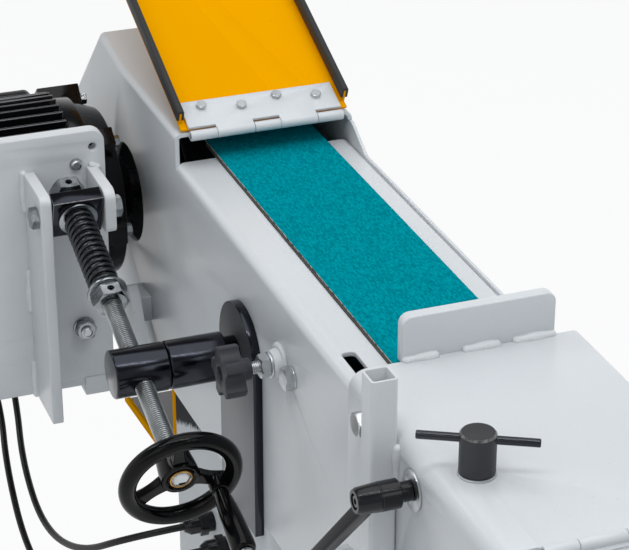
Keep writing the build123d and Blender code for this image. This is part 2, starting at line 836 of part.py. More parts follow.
fasteners = []
washer_left = boss_left - washer_thick
nut = hex_x(bolt_flats, washer_left - lock_nut, washer_left, knob_y, knob_z)
ring = along_x(lock_washer, washer_left, boss_left, knob_y, knob_z)
for piece in (nut, ring):
    fasteners.append(piece - along_x(stud_radius + run_gap, knob_face, -half, knob_y, knob_z))
for y, z in wall_bolt_places:
    bolt = along_x(wall_washer, -half - wall_washer_thick, -half, y, z)
    fasteners.append(bolt + hex_x(bolt_flats, -half - wall_washer_thick - bolt_head, -half, y, z))
ring = along_x(lever_washer, -half - washer_thick, -half, lever_y, lever_z)
fasteners.append(ring - along_x(stud_radius + 0.5, -half - washer_thick - 1.0, -half + 1.0, lever_y, lever_z))
ring = along_z(clamp_washer, front_top, washer_top, clamp_x, clamp_y)
fasteners.append(ring - along_z(stud_radius + 0.5, front_top - 1.0, washer_top + 1.0, clamp_x, clamp_y))
parts["wall_fasteners"] = Compound(fasteners)

# Roller arm, axle, bearings and contact roller
arm_right = wall_in + arm_thick
arm_outline = [
    (arm_rear_y, arm_low),
    (arm_rear_y, arm_high),
    (arm_bend_y[0], arm_high),
    (arm_bend_y[1], arm_nose - 10.0),
    (arm_bend_y[2], arm_nose),
    (roller_y - arm_eye, arm_nose),
    (roller_y - arm_eye, roller_z - arm_eye),
    (arm_low_y, arm_low),
]
arm = side_prism(arm_outline, wall_in, arm_right)
arm += box(wall_in, clamp_x + 7.0, clamp_y - 15.0, clamp_y + 15.0, arm_high, arm_pad_z)
arm -= box(wall_in - 1.0, clamp_x + 8.0, clamp_y - 15.0, clamp_y + 15.0, arm_pad_z, 0.0)
arm -= along_x(stud_radius + 1.0, wall_in - 1.0, wall_in + 8.0, lever_y, lever_z)
arm -= along_x(axle_radius, wall_in - 1.0, arm_right + 1.0, roller_y, roller_z)
parts["roller_arm"] = arm
roller_left = belt_middle - belt_width / 2.0 - roller_overhang
roller_right = belt_middle + belt_width / 2.0 + roller_overhang
axle = along_x(axle_radius, wall_in, roller_right + 6.0, roller_y, roller_z)
axle += along_x(axle_radius + 3.0, arm_right, roller_left - 0.3, roller_y, roller_z)
axle += hex_x(bolt_flats + 2.0, roller_right + 0.5, roller_right + 6.0, roller_y, roller_z)
parts["roller_axle"] = axle
roller = along_x(roller_radius, roller_left, roller_right, roller_y, roller_z)
roller -= along_x(bearing_radius - 4.0, roller_left - 1.0, roller_right + 1.0, roller_y, roller_z)
bearings = []
for x0 in (roller_left, roller_right - bearing_width):
    roller -= along_x(bearing_radius, x0, x0 + bearing_width, roller_y, roller_z)
    ring = along_x(bearing_radius, x0, x0 + bearing_width, roller_y, roller_z)
    ring -= along_x(axle_radius + run_gap, x0 - 1.0, x0 + bearing_width + 1.0, roller_y, roller_z)
    bearings.append(ring)
parts["contact_roller"] = roller
parts["roller_bearings"] = Compound(bearings)

# Drive wheel and motor shaft
wheel_left = belt_middle - belt_width / 2.0 - 1.0
wheel_right = belt_middle + belt_width / 2.0 + 1.0
wheel = along_x(wheel_radius, wheel_left, wheel_right, wheel_y, wheel_z)
hollow_radius = wheel_radius - wheel_wall
web_left = belt_middle - wheel_web / 2.0
web_right = belt_middle + wheel_web / 2.0
wheel -= along_x(hollow_radius, wheel_left - 1.0, web_left, wheel_y, wheel_z)
wheel -= along_x(hollow_radius, web_right, wheel_right + 1.0, wheel_y, wheel_z)
wheel += along_x(wheel_hub, wheel_left - 12.0, belt_middle + wheel_hub_right, wheel_y, wheel_z)
wheel -= along_x(shaft_radius, wheel_left - 20.0, wheel_right, wheel_y, wheel_z)
parts["drive_wheel"] = wheel
shaft = along_x(shaft_radius, shield_left + 3.0, belt_middle + wheel_hub_right, motor_y, motor_z)
shaft += along_x(shaft_radius + 4.0, shield_left + 3.0, bearing_hub_right + 2.0, motor_y, motor_z)
parts["motor_shaft"] = shaft

# Grinding belt and the pad it runs over
centre_line = Vector(wheel_y - roller_y, wheel_z - roller_z, 0)
slant = centre_line.normalized()
gamma2 = 2.0 * math.asin((wheel_radius - roller_radius) / centre_line.length)


def loop_face(extra):
    big = wheel_radius + belt_gap + extra
    small = roller_radius + belt_gap + extra
    low = (-math.sin(gamma2), -math.cos(gamma2))
    top_wheel = (wheel_y, wheel_z + big)
    top_roller = (roller_y, roller_z + small)
    rear = (wheel_y + big * slant.X, wheel_z + big * slant.Y)
    front = (roller_y - small * slant.X, roller_z - small * slant.Y)
    low_wheel = (wheel_y + big * low[0], wheel_z + big * low[1])
    low_roller = (roller_y + small * low[0], roller_z + small * low[1])
    return make_face([
        Line(top_roller, top_wheel),
        ThreePointArc(top_wheel, rear, low_wheel),
        Line(low_wheel, low_roller),
        ThreePointArc(low_roller, front, top_roller),
    ])


loop = Plane.YZ.offset(belt_left) * (loop_face(belt_thick) - loop_face(0.0))
parts["grinding_belt"] = extrude(loop, belt_width, dir=(1, 0, 0))
parts["platen_pad"] = box(
    belt_left - pad_show, belt_left + belt_width - tongue_inset, front_edge_y + stop_thick, pad_end_y,
    platform_top, -belt_thick - belt_gap,
)

# Motor plate with its welded rib, lug and pivot sleeve
plate_middle = (plate_left + plate_right) / 2.0
plate_face = RectangleRounded(plate_right - plate_left, plate_top - plate_foot, plate_corner)
plate = Plane.XZ.offset(-plate_rear_y) * plate_face
plate = Pos(plate_middle, 0, (plate_top + plate_foot) / 2.0) * extrude(plate, plate_thick, dir=(0, -1, 0))
sleeve = box(
    sleeve_left, sleeve_right, plate_front_y, plate_rear_y + sleeve_rear,
    pivot_z - sleeve_low, pivot_z + sleeve_high,
)
plate -= sleeve
foot_places = []
for dx in (0.0, foot_pitch_x):
    for dz in (-0.5, 0.5):
        foot_places.append((foot_x - dx, motor_z + dz * foot_pitch_z))
for x, z in foot_places:
    plate -= Pos(x, plate_rear_y, z) * Rot(90, 0, 0) * Cylinder(bolt_radius, 60.0)
plate -= Pos(plate_right - 11.0, plate_rear_y, plate_top - 16.0) * Rot(90, 0, 0) * Cylinder(3.5, 60.0)
parts["motor_plate"] = plate


def soften(solid, y, z, radius):
    """Rounds the edge along X at the given Y and Z."""
    long_edges = solid.edges().filter_by(Axis.X)
    edges = [e for e in long_edges if math.dist((e.center().Y, e.center().Z), (y, z)) < 0.1]
    return fillet(edges, radius)


rib = box(rib_x - lug_thick, rib_x, lug_front_y, plate_front_y, plate_foot, rib_top)
lug = box(lug_x, lug_x + lug_thick, lug_front_y, plate_front_y, lug_foot, lug_top)
rib -= along_x(bolt_radius, rib_x - lug_thick - 1.0, rib_x + 1.0, block_y, block_z)
lug -= along_x(bolt_radius, lug_x - 1.0, lug_x + lug_thick + 1.0, block_y, block_z)
rib = soften(rib, lug_front_y, rib_top, rib_corner)
lug = soften(lug, lug_front_y, lug_top, lug_corner)
lug = soften(lug, lug_front_y, lug_foot, lug_low_corner)
sleeve -= along_x(pivot_radius + run_gap, sleeve_left - 1.0, sleeve_right + 1.0, pivot_y, pivot_z)
parts["plate_weldments"] = Compound([rib, lug, sleeve])

pivot = along_x(pivot_radius, sleeve_left, wall_in, pivot_y, pivot_z)
pivot += along_x(pivot_flange, -half - lug_thick, -half, pivot_y, pivot_z)
parts["pivot_shaft"] = pivot

eye_corners = ((pivot_y, pivot_z - gusset_eye), (pivot_y - gusset_eye, pivot_z))
gusset = side_prism(gusset_outline + eye_corners, gusset_left, gusset_right)
gusset += along_x(gusset_eye, gusset_left, gusset_right, pivot_y, pivot_z)
gusset += box(gusset_right - 1.0, -half, *gusset_block)
gusset -= along_x(pivot_radius, gusset_left - 1.0, gusset_right + 1.0, pivot_y, pivot_z)
parts["left_wall"] = left_wall
parts["pivot_gusset"] = gusset

# Motor
fin_top = motor_core + fin_height
fins = Sketch() + [
    Rot(0, 0, 360.0 / fin_count * (number + 0.5)) * Pos((motor_core + fin_top) / 2.0 - 1.0, 0)
    * Rectangle(fin_height + 2.0, fin_thick)
    for number in range(fin_count)
]
body_face = Plane.YZ.offset(body_left) * (Circle(motor_core) + fins)
body = Pos(0, motor_y, motor_z) * extrude(body_face, shield_left - body_left, dir=(1, 0, 0))
for x, z in foot_places:
    up = 1.0 if z > motor_z else -1.0
    leg_z = motor_z + up * leg_reach
    body += box(
        x - foot_half, x + foot_half, plate_rear_y, plate_rear_y + foot_thick,
        z - foot_height, z + foot_height,
    )
    body += box(
        x - leg_half, x + leg_half, plate_rear_y, motor_y - leg_in, leg_z - leg_half, leg_z + leg_half
    )
    body -= Pos(x, plate_rear_y + foot_thick, z) * Rot(90, 0, 0) * Cylinder(bolt_radius, 3.0 * foot_thick)


def ear_block(turn, reach):
    """Box along X on the motor's edge, at an angle round its axis."""
    block = box(shield_left - ear_back, ear_right, ear_foot, reach, -ear_width / 2.0, ear_width / 2.0)
    return Pos(0, motor_y, motor_z) * Rot(turn, 0, 0) * block


for turn, _, reach in ear_places:
    body -= ear_block(turn, reach + 20.0)
box_front = motor_y + neck_reach
body += box(
    box_left + neck_inset, box_right - neck_inset, motor_y + 0.8 * motor_core, box_front,
    motor_z - neck_half, motor_z + neck_half,
)
parts["motor_body"] = body

shield = along_x(shield_radius, shield_left, shield_seam, motor_y, motor_z)
dome_long = shield_right - shield_seam
dome = Cone(dome_radius, face_radius, dome_long, align=(Align.CENTER, Align.CENTER, Align.MIN))
dome = fillet(dome.edges().filter_by(GeomType.CIRCLE).sort_by(Axis.Z)[-1], face_soft)
shield += Pos(shield_seam, motor_y, motor_z) * Rot(0, 90, 0) * dome
shield += along_x(pilot_radius, shield_left, pilot_right, motor_y, motor_z)
shield += along_x(bearing_hub_radius, shield_left, bearing_hub_right, motor_y, motor_z)
shield_bolts = []
for turn, radius, reach in ear_places:
    shield += ear_block(turn, reach)
    ear_y = motor_y + radius * math.cos(math.radians(turn))
    ear_z = motor_z + radius * math.sin(math.radians(turn))
    shield_bolts.append((ear_y, ear_z))
shield -= along_x(shaft_radius + 4.5, shield_left + 2.5, bearing_hub_right + 1.0, motor_y, motor_z)
parts["end_shield"] = shield

cowl = along_x(cowl_radius, cowl_left, body_left, motor_y, motor_z)
cowl = fillet(cowl.edges().filter_by(GeomType.CIRCLE).group_by(Axis.X)[0], 10.0)
cowl -= along_x(cowl_radius - 3.0, cowl_left + 3.0, body_left - 4.0, motor_y, motor_z)
slot_face = Pos(cowl_slot_at, 0) * SlotOverall(cowl_slot_length, cowl_slot_width)
intake = Sketch() + [Rot(0, 0, 360.0 / cowl_slots * number) * slot_face for number in range(cowl_slots)]
intake = Plane.YZ.offset(cowl_left - 1.0) * intake
cowl -= Pos(0, motor_y, motor_z) * extrude(intake, 10.0, dir=(1, 0, 0))
parts["fan_cowl"] = cowl

box_rear = box_front + box_depth
lid_front = box_rear - box_lid
lid = box(box_left, box_right, lid_front, box_rear, motor_z - box_half, motor_z + box_half)
lid = fillet(lid.edges().filter_by(Axis.Y), box_corner)
lid = fillet(lid.faces().sort_by(Axis.Y)[-1].edges(), 0.6 * box_corner)
low_half = box_half - box_step
terminal = box(
    box_left + box_step, box_right - box_step, box_front, lid_front + 1.0,
    motor_z - low_half, motor_z + low_half,
)
terminal = fillet(terminal.edges().filter_by(Axis.Y), box_corner - box_step) + lid
parts["terminal_box"] = terminal

bolts = []
for x, z in foot_places:
    nutted = z < motor_z
    outside = foot_washer_thick + foot_nut + stud_out if nutted else stud_out
    bolt = along_z(bolt_radius, -plate_thick - foot_thick, outside)
    bolt = chamfer(bolt.edges().filter_by(GeomType.CIRCLE).group_by(Axis.Z)[-1], 1.0)
    if nutted:
        bolt += along_z(foot_washer, 0.0, foot_washer_thick)
        bolt += Pos(0, 0, foot_washer_thick) * hexagon(bolt_flats, foot_nut)
    bolts.append(Pos(x, plate_front_y, z) * Rot(90, 0, 0) * bolt)
shank_in = block_thick - 4.0
left_bolt = hex_x(bolt_flats, rib_x - lug_thick - bolt_head, rib_x - lug_thick, block_y, block_z)
left_bolt += along_x(bolt_radius, rib_x - lug_thick - 1.0, rib_x + shank_in, block_y, block_z)
right_bolt = hex_x(bolt_flats, lug_x + lug_thick, lug_x + lug_thick + bolt_head, block_y, block_z)
right_bolt += along_x(bolt_radius, lug_x - shank_in, lug_x + lug_thick + 1.0, block_y, block_z)
bolts += [left_bolt, right_bolt]
for ear_y, ear_z in shield_bolts:
    bolts.append(hex_x(ear_flats, ear_right, ear_right + ear_head, ear_y, ear_z))
parts["carrier_fasteners"] = Compound(bolts)

# Trunnion block, spindle, collars, washers and spring
block_half = (lug_x - rib_x) / 2.0 - block_gap
block = Box(2.0 * block_half, block_high, block_thick)
block -= along_z(block_bore, -block_thick, block_thick)
block = spindle_frame * block
for x0, x1 in ((rib_x - 1.0, rib_x + shank_in + 0.5), (lug_x - shank_in - 0.5, lug_x + 1.0)):
    block -= along_x(bolt_radius + run_gap, x0, x1, block_y, block_z)
parts["trunnion_block"] = block

rod = along_z(spindle_radius, spindle_rear, spindle_front)
rod = chamfer(rod.edges().filter_by(GeomType.CIRCLE), 1.5)
parts["tension_spindle"] = spindle_frame * rod
washer_from = block_thick / 2.0 + block_play
spring_from = washer_from + plate_washer_thick
spring_to = spring_from + spring_length
collars = []
for at in (collar_rear, spring_to + plate_washer_thick):
    collar = Pos(0, 0, at) * hexagon(collar_flats, collar_length)
    grub = Pos(0, collar_flats / 2.0, at + collar_length / 2.0) * Rot(90, 0, 0)
    collar -= grub * Cylinder(grub_radius, 2.0 * grub_depth)
    collars.append(spindle_frame * (collar - along_z(spindle_radius, at - 1.0, at + collar_length + 1.0)))
parts["spindle_collars"] = Compound(collars)
washers = []
for at in (washer_from, spring_to):
    ring = along_z(plate_washer, at, at + plate_washer_thick)
    washers.append(spindle_frame * (ring - along_z(spindle_radius + 0.5, at - 1.0, at + 5.0)))
parts["spring_washers"] = Compound(washers)

# Spring: one wire, closed turns of two arcs each, its ends straight and square to the washers
coil_radius = spring_radius - wire_radius
pitch = (spring_length - 2.0 * wire_radius) / spring_turns
wire_from = spring_from + wire_radius


def coil_point(turn):
    angle = 2.0 * math.pi * turn
    return Vector(coil_radius * math.cos(angle), coil_radius * math.sin(angle), wire_from + pitch * turn)


def coil_heading(turn):
    angle = 2.0 * math.pi * turn
    along = 2.0 * math.pi * coil_radius
    return Vector(-along * math.sin(angle), along * math.cos(angle), pitch).normalized()


def biarc(p0, t0, p1, t1):
    """Two arcs that join two points and keep the heading at each."""
    v = p1 - p0
    t = t0 + t1
    a = 2.0 * (1.0 - t0.dot(t1))
    b = 2.0 * v.dot(t)
    c = -v.dot(v)
    d = (-b + math.sqrt(b * b - 4.0 * a * c)) / (2.0 * a)
    q0 = p0 + t0 * d
    q1 = p1 - t1 * d
    joint = (q0 + q1) * 0.5
    first = Edge.make_tangent_arc(p0, t0, joint)
    second = Edge.make_tangent_arc(joint, first % 1, p1)
    return [first, second]


steps = 2
wire_edges = []
for step in range(spring_turns * steps):
    t0 = step / steps
    t1 = (step + 1) / steps
    wire_edges += biarc(coil_point(t0), coil_heading(t0), coil_point(t1), coil_heading(t1))
coil_wire = Wire(wire_edges)
coil_start = Plane(origin=coil_wire @ 0, z_dir=coil_wire % 0)
spring = sweep(coil_start * RegularPolygon(wire_radius, 8), path=coil_wire)
samples = []
for number, edge in enumerate(wire_edges):
    samples += [(number + share, edge @ share) for share in (0.0, 0.25, 0.5, 0.75)]
near = [
    (p - q).length
    for number, (a, p) in enumerate(samples)
    for b, q in samples[number:]
    if 2.0 < b - a < 7.0
]
print("least gap between coils", round(min(near) - 2.0 * wire_radius, 2))
parts["tension_spring"] = spindle_frame * spring

# Turning nut on its support bar, and the bracket plate
nut_left = spindle_x - nut_half
nut_right = spindle_x + nut_half
spindle_nut = along_x(bar_radius, nut_left, nut_right, nut_y, nut_z)
spindle_nut = chamfer(spindle_nut.edges().filter_by(GeomType.CIRCLE), 1.0)
spindle_nut -= spindle_frame * along_z(spindle_radius + run_gap, nut_at - 40.0, nut_at + 40.0)
spindle_nut -= along_x(
    bar_pin_radius + run_gap, nut_right - bar_pin_length - 0.5, nut_right + 1.0, nut_y, nut_z
)
parts["spindle_nut"] = spindle_nut
bracket_x = -half - bracket_thick
support = along_x(bar_radius, nut_right + side_gap, bar_shoulder_x, nut_y, nut_z)
support = chamfer(support.edges().filter_by(GeomType.CIRCLE), 1.0)
support += along_x(bar_neck_radius, bar_shoulder_x - 1.0, bracket_x, nut_y, nut_z)
support += along_x(bar_pin_radius, nut_right - bar_pin_length, nut_right + 2.0, nut_y, nut_z)
parts["support_bar"] = support
bracket = along_x(bracket_radius, bracket_x, -half, nut_y, nut_z)
bracket += box(bracket_x, -half, nut_y - bracket_radius, nut_y + bracket_radius, bracket_foot, nut_z)
parts["bracket_plate"] = bracket

# Handwheel with its revolving grip
hub_from = spindle_front - hub_length
rim_face = Plane.XZ * (Pos(wheel_rim, rim_at) * Circle(rim_radius))
rim = Rot(0, 0, spoke_turn + 60.0) * revolve(rim_face, Axis.Z)
axle_from = rim_at - spoke_thick / 2.0
wheel_hand = along_z(hub_radius, hub_from, spindle_front)
for number in range(3):
    spoke = box(hub_radius - 4.0, wheel_rim, -spoke_half, spoke_half, axle_from, axle_from + spoke_thick)
    wheel_hand += Rot(0, 0, spoke_turn + 120.0 * number) * spoke
grip_place = Rot(0, 0, spoke_turn) * Pos(grip_at, 0, 0)
grip_from = rim_at + rim_radius + 2.0
grip_foot = Pos(0, 0, axle_from) * extrude(RegularPolygon(grip_boss, 8), grip_from - axle_from)
wheel_hand += grip_place * grip_foot
wheel_hand += rim
wheel_hand -= along_z(spindle_radius, hub_from - 1.0, spindle_front + 1.0)
wheel_hand -= grip_place * along_z(grip_axle_radius, axle_from - 1.0, grip_from + 1.0)
parts["handwheel"] = spindle_frame * wheel_hand
grip_start = grip_from + side_gap
grip_end = grip_start + grip_length
grip_axle = along_z(grip_axle_radius, axle_from, grip_end + 1.0)
grip_axle += along_z(grip_cap, grip_end + side_gap, grip_end + side_gap + grip_cap_thick)
parts["grip_axle"] = spindle_frame * grip_place * grip_axle
profile = Polyline(
    (grip_axle_radius + run_gap, grip_start),
    (grip_radii[0], grip_start),
    (grip_radii[1], grip_start + 0.2 * grip_length),
    (grip_radii[2], grip_start + 0.6 * grip_length),
    (grip_radii[3], grip_start + 0.92 * grip_length),
    (grip_radii[4], grip_end),
    (grip_axle_radius + run_gap, grip_end),
    close=True,
)
grip = revolve(Plane.XZ * make_face(profile), Axis.Z)
parts["handle_grip"] = spindle_frame * grip_place * grip

# Spark guard behind the column: a tray open at the rear, with a low lip on the motor's side
def guard_floor(y):
    share = (y - column_rear_y) / (guard_rear_y - column_rear_y)
    return guard_front_z + share * (guard_rear_z - guard_front_z)


guard_outline = [
    (column_rear_y, bottom_z(column_rear_y)),
    (guard_rear_y, bottom_z(guard_rear_y)),
    (guard_rear_y, guard_rear_z - guard_sheet),
    (column_rear_y, guard_front_z - guard_sheet),
]
guard = side_prism(guard_outline, -half, half)
room_front = column_rear_y + guard_sheet
room_rear = guard_rear_y + 20.0
guard_left = -half + guard_sheet
guard_right = half - guard_sheet
for lift, x0, x1 in ((0.0, guard_left, guard_right), (guard_lip, -half - 1.0, guard_left)):
    room = [
        (room_front, guard_floor(room_front) + lift),
        (room_front, 0.0),
        (room_rear, 0.0),
        (room_rear, guard_floor(room_rear) + lift),
    ]
    guard -= side_prism(room, x0, x1)
parts["lower_guard"] = guard


# Cable glands and the two motor cables
def gland(plane):
    body = along_z(gland_radius - 1.0, 0.0, 6.0) + Pos(0, 0, 6.0) * hexagon(2.0 * gland_radius, 8.0)
    body += along_z(gland_radius - 1.5, 14.0, gland_length - 6.0)
    dome = Pos(0, 0, gland_length - 3.0) * Cone(gland_radius - 1.5, gland_radius - 5.0, 6.0)
    return plane * (body + dome)


glands = []
for y, z in column_ports:
    glands.append(gland(Plane(origin=(-half, y, z), x_dir=(0, 1, 0), z_dir=(-1, 0, 0))))
parts["column_glands"] = Compound(glands)
port_y = box_front + 0.4 * box_depth
port_z = motor_z - low_half
motor_ports = (box_right - 35.0, box_right - 68.0)
glands = []
for x in motor_ports:
    glands.append(gland(Plane(origin=(x, port_y, port_z), x_dir=(1, 0, 0), z_dir=(0, 0, -1))))
parts["motor_glands"] = Compound(glands)


def cable(name, points):
    """Eight-sided tube of straight runs and tangent arcs, square to the glands at both ends."""
    radii = []
    for before, here, after in zip(points, points[1:], points[2:]):
        a = Vector(*here) - Vector(*before)
        b = Vector(*after) - Vector(*here)
        turn = math.radians(a.get_angle(b))
        radii.append(0.45 * min(a.length, b.length) / math.tan(turn / 2.0))
    path = FilletPolyline(*points, radius=radii)
    ring = Plane(origin=path @ 0, z_dir=path % 0) * RegularPolygon(cable_radius, 8)
    tube = sweep(ring, path=path)
    ratio = tube.volume / (ring.area * path.length)
    print(name, "radii", [round(r) for r in radii], "volume over section", round(ratio, 3))
    return tube


cable_out_x = -half - gland_length
cable_top_z = port_z - gland_length
cable_bend_z = cable_top_z - 48.0
upper_y, upper_z = column_ports[0]
upper_route = [
    (cable_out_x, upper_y, upper_z),
    (cable_out_x - 50.0, upper_y, upper_z),
    (-192.0, -30.0, -364.0),
    (-205.0, 52.0, -384.0),
    (-204.0, 130.0, -358.0),
    (-190.0, 205.0, -330.0),
    (-190.0, 262.0, -270.0),
    (motor_ports[0], port_y, cable_bend_z),
    (motor_ports[0], port_y, cable_top_z),
]
parts["cable_upper"] = cable("cable_upper", upper_route)
lower_y, lower_z = column_ports[1]
lower_route = [
    (cable_out_x, lower_y, lower_z),
    (cable_out_x - 50.0, lower_y, lower_z),
    (-192.0, -86.0, -370.0),
    (-212.0, -14.0, -416.0),
    (-221.0, 62.0, -408.0),
    (-219.0, 135.0, -362.0),
    (-206.0, 205.0, -334.0),
    (-213.0, 258.0, -278.0),
    (motor_ports[1], port_y, cable_bend_z),
    (motor_ports[1], port_y, cable_top_z),
]
parts["cable_lower"] = cable("cable_lower", lower_route)

# Written in the floor frame: origin on the floor at the middle of the base plate
os.makedirs("parts", exist_ok=True)
to_floor = Pos(0, stand_setback, belt_height)
for name, solid in parts.items():
    export_step(to_floor * solid, f"parts/{name}.step")
print("roller axis", round(roller_y, 2), round(roller_z, 2), "nodes", len(parts))
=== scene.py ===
# %% [markdown]
# This lesson dresses a belt and pipe grinder. The solids of the machine come in as a fixed frame: they hold
# the sizes, the joints and the places of all pieces, in metres, with the floor at Z = 0 and the operator on
# the -Y side. Here each solid gets softened edges and a finish, and the small things that make it look
# made: threads, welds, chamfered nuts.

# %% Load the frame
import json
import math

import bpy
from mathutils import Matrix, Vector
from mathutils.bvhtree import BVHTree
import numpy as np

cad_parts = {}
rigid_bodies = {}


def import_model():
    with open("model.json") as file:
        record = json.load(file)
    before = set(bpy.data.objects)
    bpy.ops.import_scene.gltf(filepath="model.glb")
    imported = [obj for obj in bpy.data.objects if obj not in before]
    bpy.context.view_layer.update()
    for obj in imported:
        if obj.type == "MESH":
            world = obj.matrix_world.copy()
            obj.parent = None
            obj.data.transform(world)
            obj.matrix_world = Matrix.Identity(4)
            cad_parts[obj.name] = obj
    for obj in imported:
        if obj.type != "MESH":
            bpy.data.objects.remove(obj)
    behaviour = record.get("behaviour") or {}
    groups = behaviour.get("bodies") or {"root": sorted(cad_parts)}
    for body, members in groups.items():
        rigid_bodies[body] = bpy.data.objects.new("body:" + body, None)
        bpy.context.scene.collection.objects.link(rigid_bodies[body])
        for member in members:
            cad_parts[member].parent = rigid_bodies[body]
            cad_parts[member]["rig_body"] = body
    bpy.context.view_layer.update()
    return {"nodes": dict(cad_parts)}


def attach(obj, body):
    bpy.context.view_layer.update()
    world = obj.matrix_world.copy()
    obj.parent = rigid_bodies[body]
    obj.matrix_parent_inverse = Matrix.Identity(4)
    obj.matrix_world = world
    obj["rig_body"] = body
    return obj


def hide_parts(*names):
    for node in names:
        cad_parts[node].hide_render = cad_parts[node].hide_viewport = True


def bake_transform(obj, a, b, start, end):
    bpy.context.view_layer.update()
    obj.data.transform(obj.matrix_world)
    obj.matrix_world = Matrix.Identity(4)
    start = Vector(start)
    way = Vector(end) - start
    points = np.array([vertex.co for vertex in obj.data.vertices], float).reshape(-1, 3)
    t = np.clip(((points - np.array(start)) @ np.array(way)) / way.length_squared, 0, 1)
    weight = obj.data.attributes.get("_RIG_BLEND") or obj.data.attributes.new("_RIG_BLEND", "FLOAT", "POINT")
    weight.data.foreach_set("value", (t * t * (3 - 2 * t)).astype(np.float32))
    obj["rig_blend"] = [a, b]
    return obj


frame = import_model()
nodes = frame["nodes"]
scene = bpy.context.scene
MM = 0.001
HEAD = Vector((0.0, 110.0, 940.0))


def head(x, y, z):
    """A point given in millimetres from the belt's grinding face, as the machine's drawings do, in metres."""
    return (Vector((x, y, z)) + HEAD) * MM


# %% [markdown]
# The camera comes first, because every later choice is compared with the photograph through it. Its place
# was worked out from straight edges of the machine: a long lens, from the front left and above. A camera
# looks along its own -Z, so its three axes are written as the columns of a matrix.

# %% Camera
CAMERA_PLACE = Vector((-0.6013, -1.6221, 1.7345))
LOOK = Vector((0.31385, 0.83620, -0.44975))
RIGHT = Vector((0.93623, -0.35139, 0.0))
IMAGE_WIDTH = 629.0
FOCAL_PIXELS = 2273.6

bpy.ops.object.camera_add(location=CAMERA_PLACE)
camera = bpy.context.object
camera.name = "photo_camera"
up = RIGHT.cross(LOOK)
axes = Matrix((RIGHT, up, -LOOK)).transposed()
camera.rotation_euler = axes.to_euler()
camera.data.sensor_width = 36.0
camera.data.lens = FOCAL_PIXELS / IMAGE_WIDTH * camera.data.sensor_width
camera.data.clip_end = 50.0
scene.camera = camera
print("lens", round(camera.data.lens, 1), "mm")

# %% [markdown]
# Shader maths reads best as plain expressions. One small class wraps a socket, so that `0.4 + 0.1 * grain`
# adds the Math nodes by itself. Another holds a node tree while it is being wired, and its `node` method
# adds any other node: the settings first, then the values or links of its sockets. A finish is such a tree
# with its material.


# %% Shader helpers
class Socket:
    """An output socket that can be added, multiplied and so on."""

    def __init__(self, graph, socket):
        self.graph = graph
        self.socket = socket

    def __add__(self, other):
        return self.graph.math("ADD", self, other)

    def __radd__(self, other):
        return self.graph.math("ADD", other, self)

    def __sub__(self, other):
        return self.graph.math("SUBTRACT", self, other)

    def __rsub__(self, other):
        return self.graph.math("SUBTRACT", other, self)

    def __mul__(self, other):
        return self.graph.math("MULTIPLY", self, other)

    def __rmul__(self, other):
        return self.graph.math("MULTIPLY", other, self)

    def above(self, low, high):
        """0 under low, 1 over high, smooth between."""
        settings = {"interpolation_type": "SMOOTHSTEP"}
        limits = {"From Min": low, "From Max": high}
        return self.graph.node("ShaderNodeMapRange", settings, Value=self, **limits)


class Graph:
    """A node tree while it is being wired."""

    def __init__(self, tree):
        self.tree = tree

    def plug(self, target, value):
        if isinstance(value, Socket):
            self.tree.links.new(value.socket, target)
        else:
            target.default_value = value

    def node(self, kind, settings=None, output=0, **sockets):
        made = self.tree.nodes.new(kind)
        for key, value in (settings or {}).items():
            setattr(made, key, value)
        for key, value in sockets.items():
            self.plug(made.inputs[key], value)
        return Socket(self, made.outputs[output])

    def math(self, operation, a, b):
        made = self.tree.nodes.new("ShaderNodeMath")
        made.operation = operation
        self.plug(made.inputs[0], a)
        self.plug(made.inputs[1], b)
        return Socket(self, made.outputs[0])

    def place(self, stretch=(1.0, 1.0, 1.0)):
        """The point on the object, in metres, stretched for a pattern with a direction."""
        point = self.node("ShaderNodeTexCoord", output="Object")
        return self.node("ShaderNodeMapping", Vector=point, Scale=stretch)

    def noise(self, scale, detail=2.0, rough=0.5, at=None):
        at = at or self.place()
        return self.node("ShaderNodeTexNoise", Vector=at, Scale=scale, Detail=detail, Roughness=rough)

    def mix(self, share, first, second):
        made = self.tree.nodes.new("ShaderNodeMix")
        made.data_type = "RGBA"
        self.plug(made.inputs[0], share)
        self.plug(made.inputs[6], first)
        self.plug(made.inputs[7], second)
        return Socket(self, made.outputs[2])

    def bump(self, height, depth):
        return self.node("ShaderNodeBump", Height=height, Distance=depth)

    def ray(self, kind):
        """1 for light rays of this kind, 0 for others."""
        return self.node("ShaderNodeLightPath", output=kind)

    def mix_shaders(self, share, first, second):
        made = self.tree.nodes.new("ShaderNodeMixShader")
        for target, value in zip(made.inputs, (share, first, second)):
            self.plug(target, value)
        return Socket(self, made.outputs[0])


class Finish(Graph):
    """A material while it is being mixed."""

    def __init__(self, name):
        self.material = bpy.data.materials.new(name)
        self.material.use_nodes = True
        super().__init__(self.material.node_tree)
        self.shader = self.tree.nodes["Principled BSDF"]

    def done(self, **sockets):
        for key, value in sockets.items():
            self.plug(self.shader.inputs[key.replace("_", " ")], value)
        return self.material


def colour(red, green, blue):
    """A colour written as 0 to 255, in the linear light that shaders use."""
    linear = []
    for part in (red, green, blue):
        share = part / 255.0
        linear.append(share / 12.92 if share <= 0.04045 else ((share + 0.055) / 1.055) ** 2.4)
    return (*linear, 1.0)


def shade_of(tint, share):
    """A lighter or darker tone of a colour."""
    return tuple(min(1.0, share * part) for part in tint[:3]) + (1.0,)


# %% [markdown]
# Sheet steel on the machine has a satin enamel. Sprayed enamel isn't flat: it has a fine orange-peel skin
# about a millimetre wide, small dust specks, and a slow change of tone where it was sprayed thicker. All of
# it comes from noise on the object's own coordinates, so the skin has its true size everywhere. On the
# motor a paler, glossier black goes on the edges as a painted highlight, for the thin light lines along them.


# %% Enamel
GREY = colour(208, 211, 214)
# The dark tone of the painted shade under the wall's lower edge, on the column.
PAINTED_SHADE = colour(20, 20, 22)


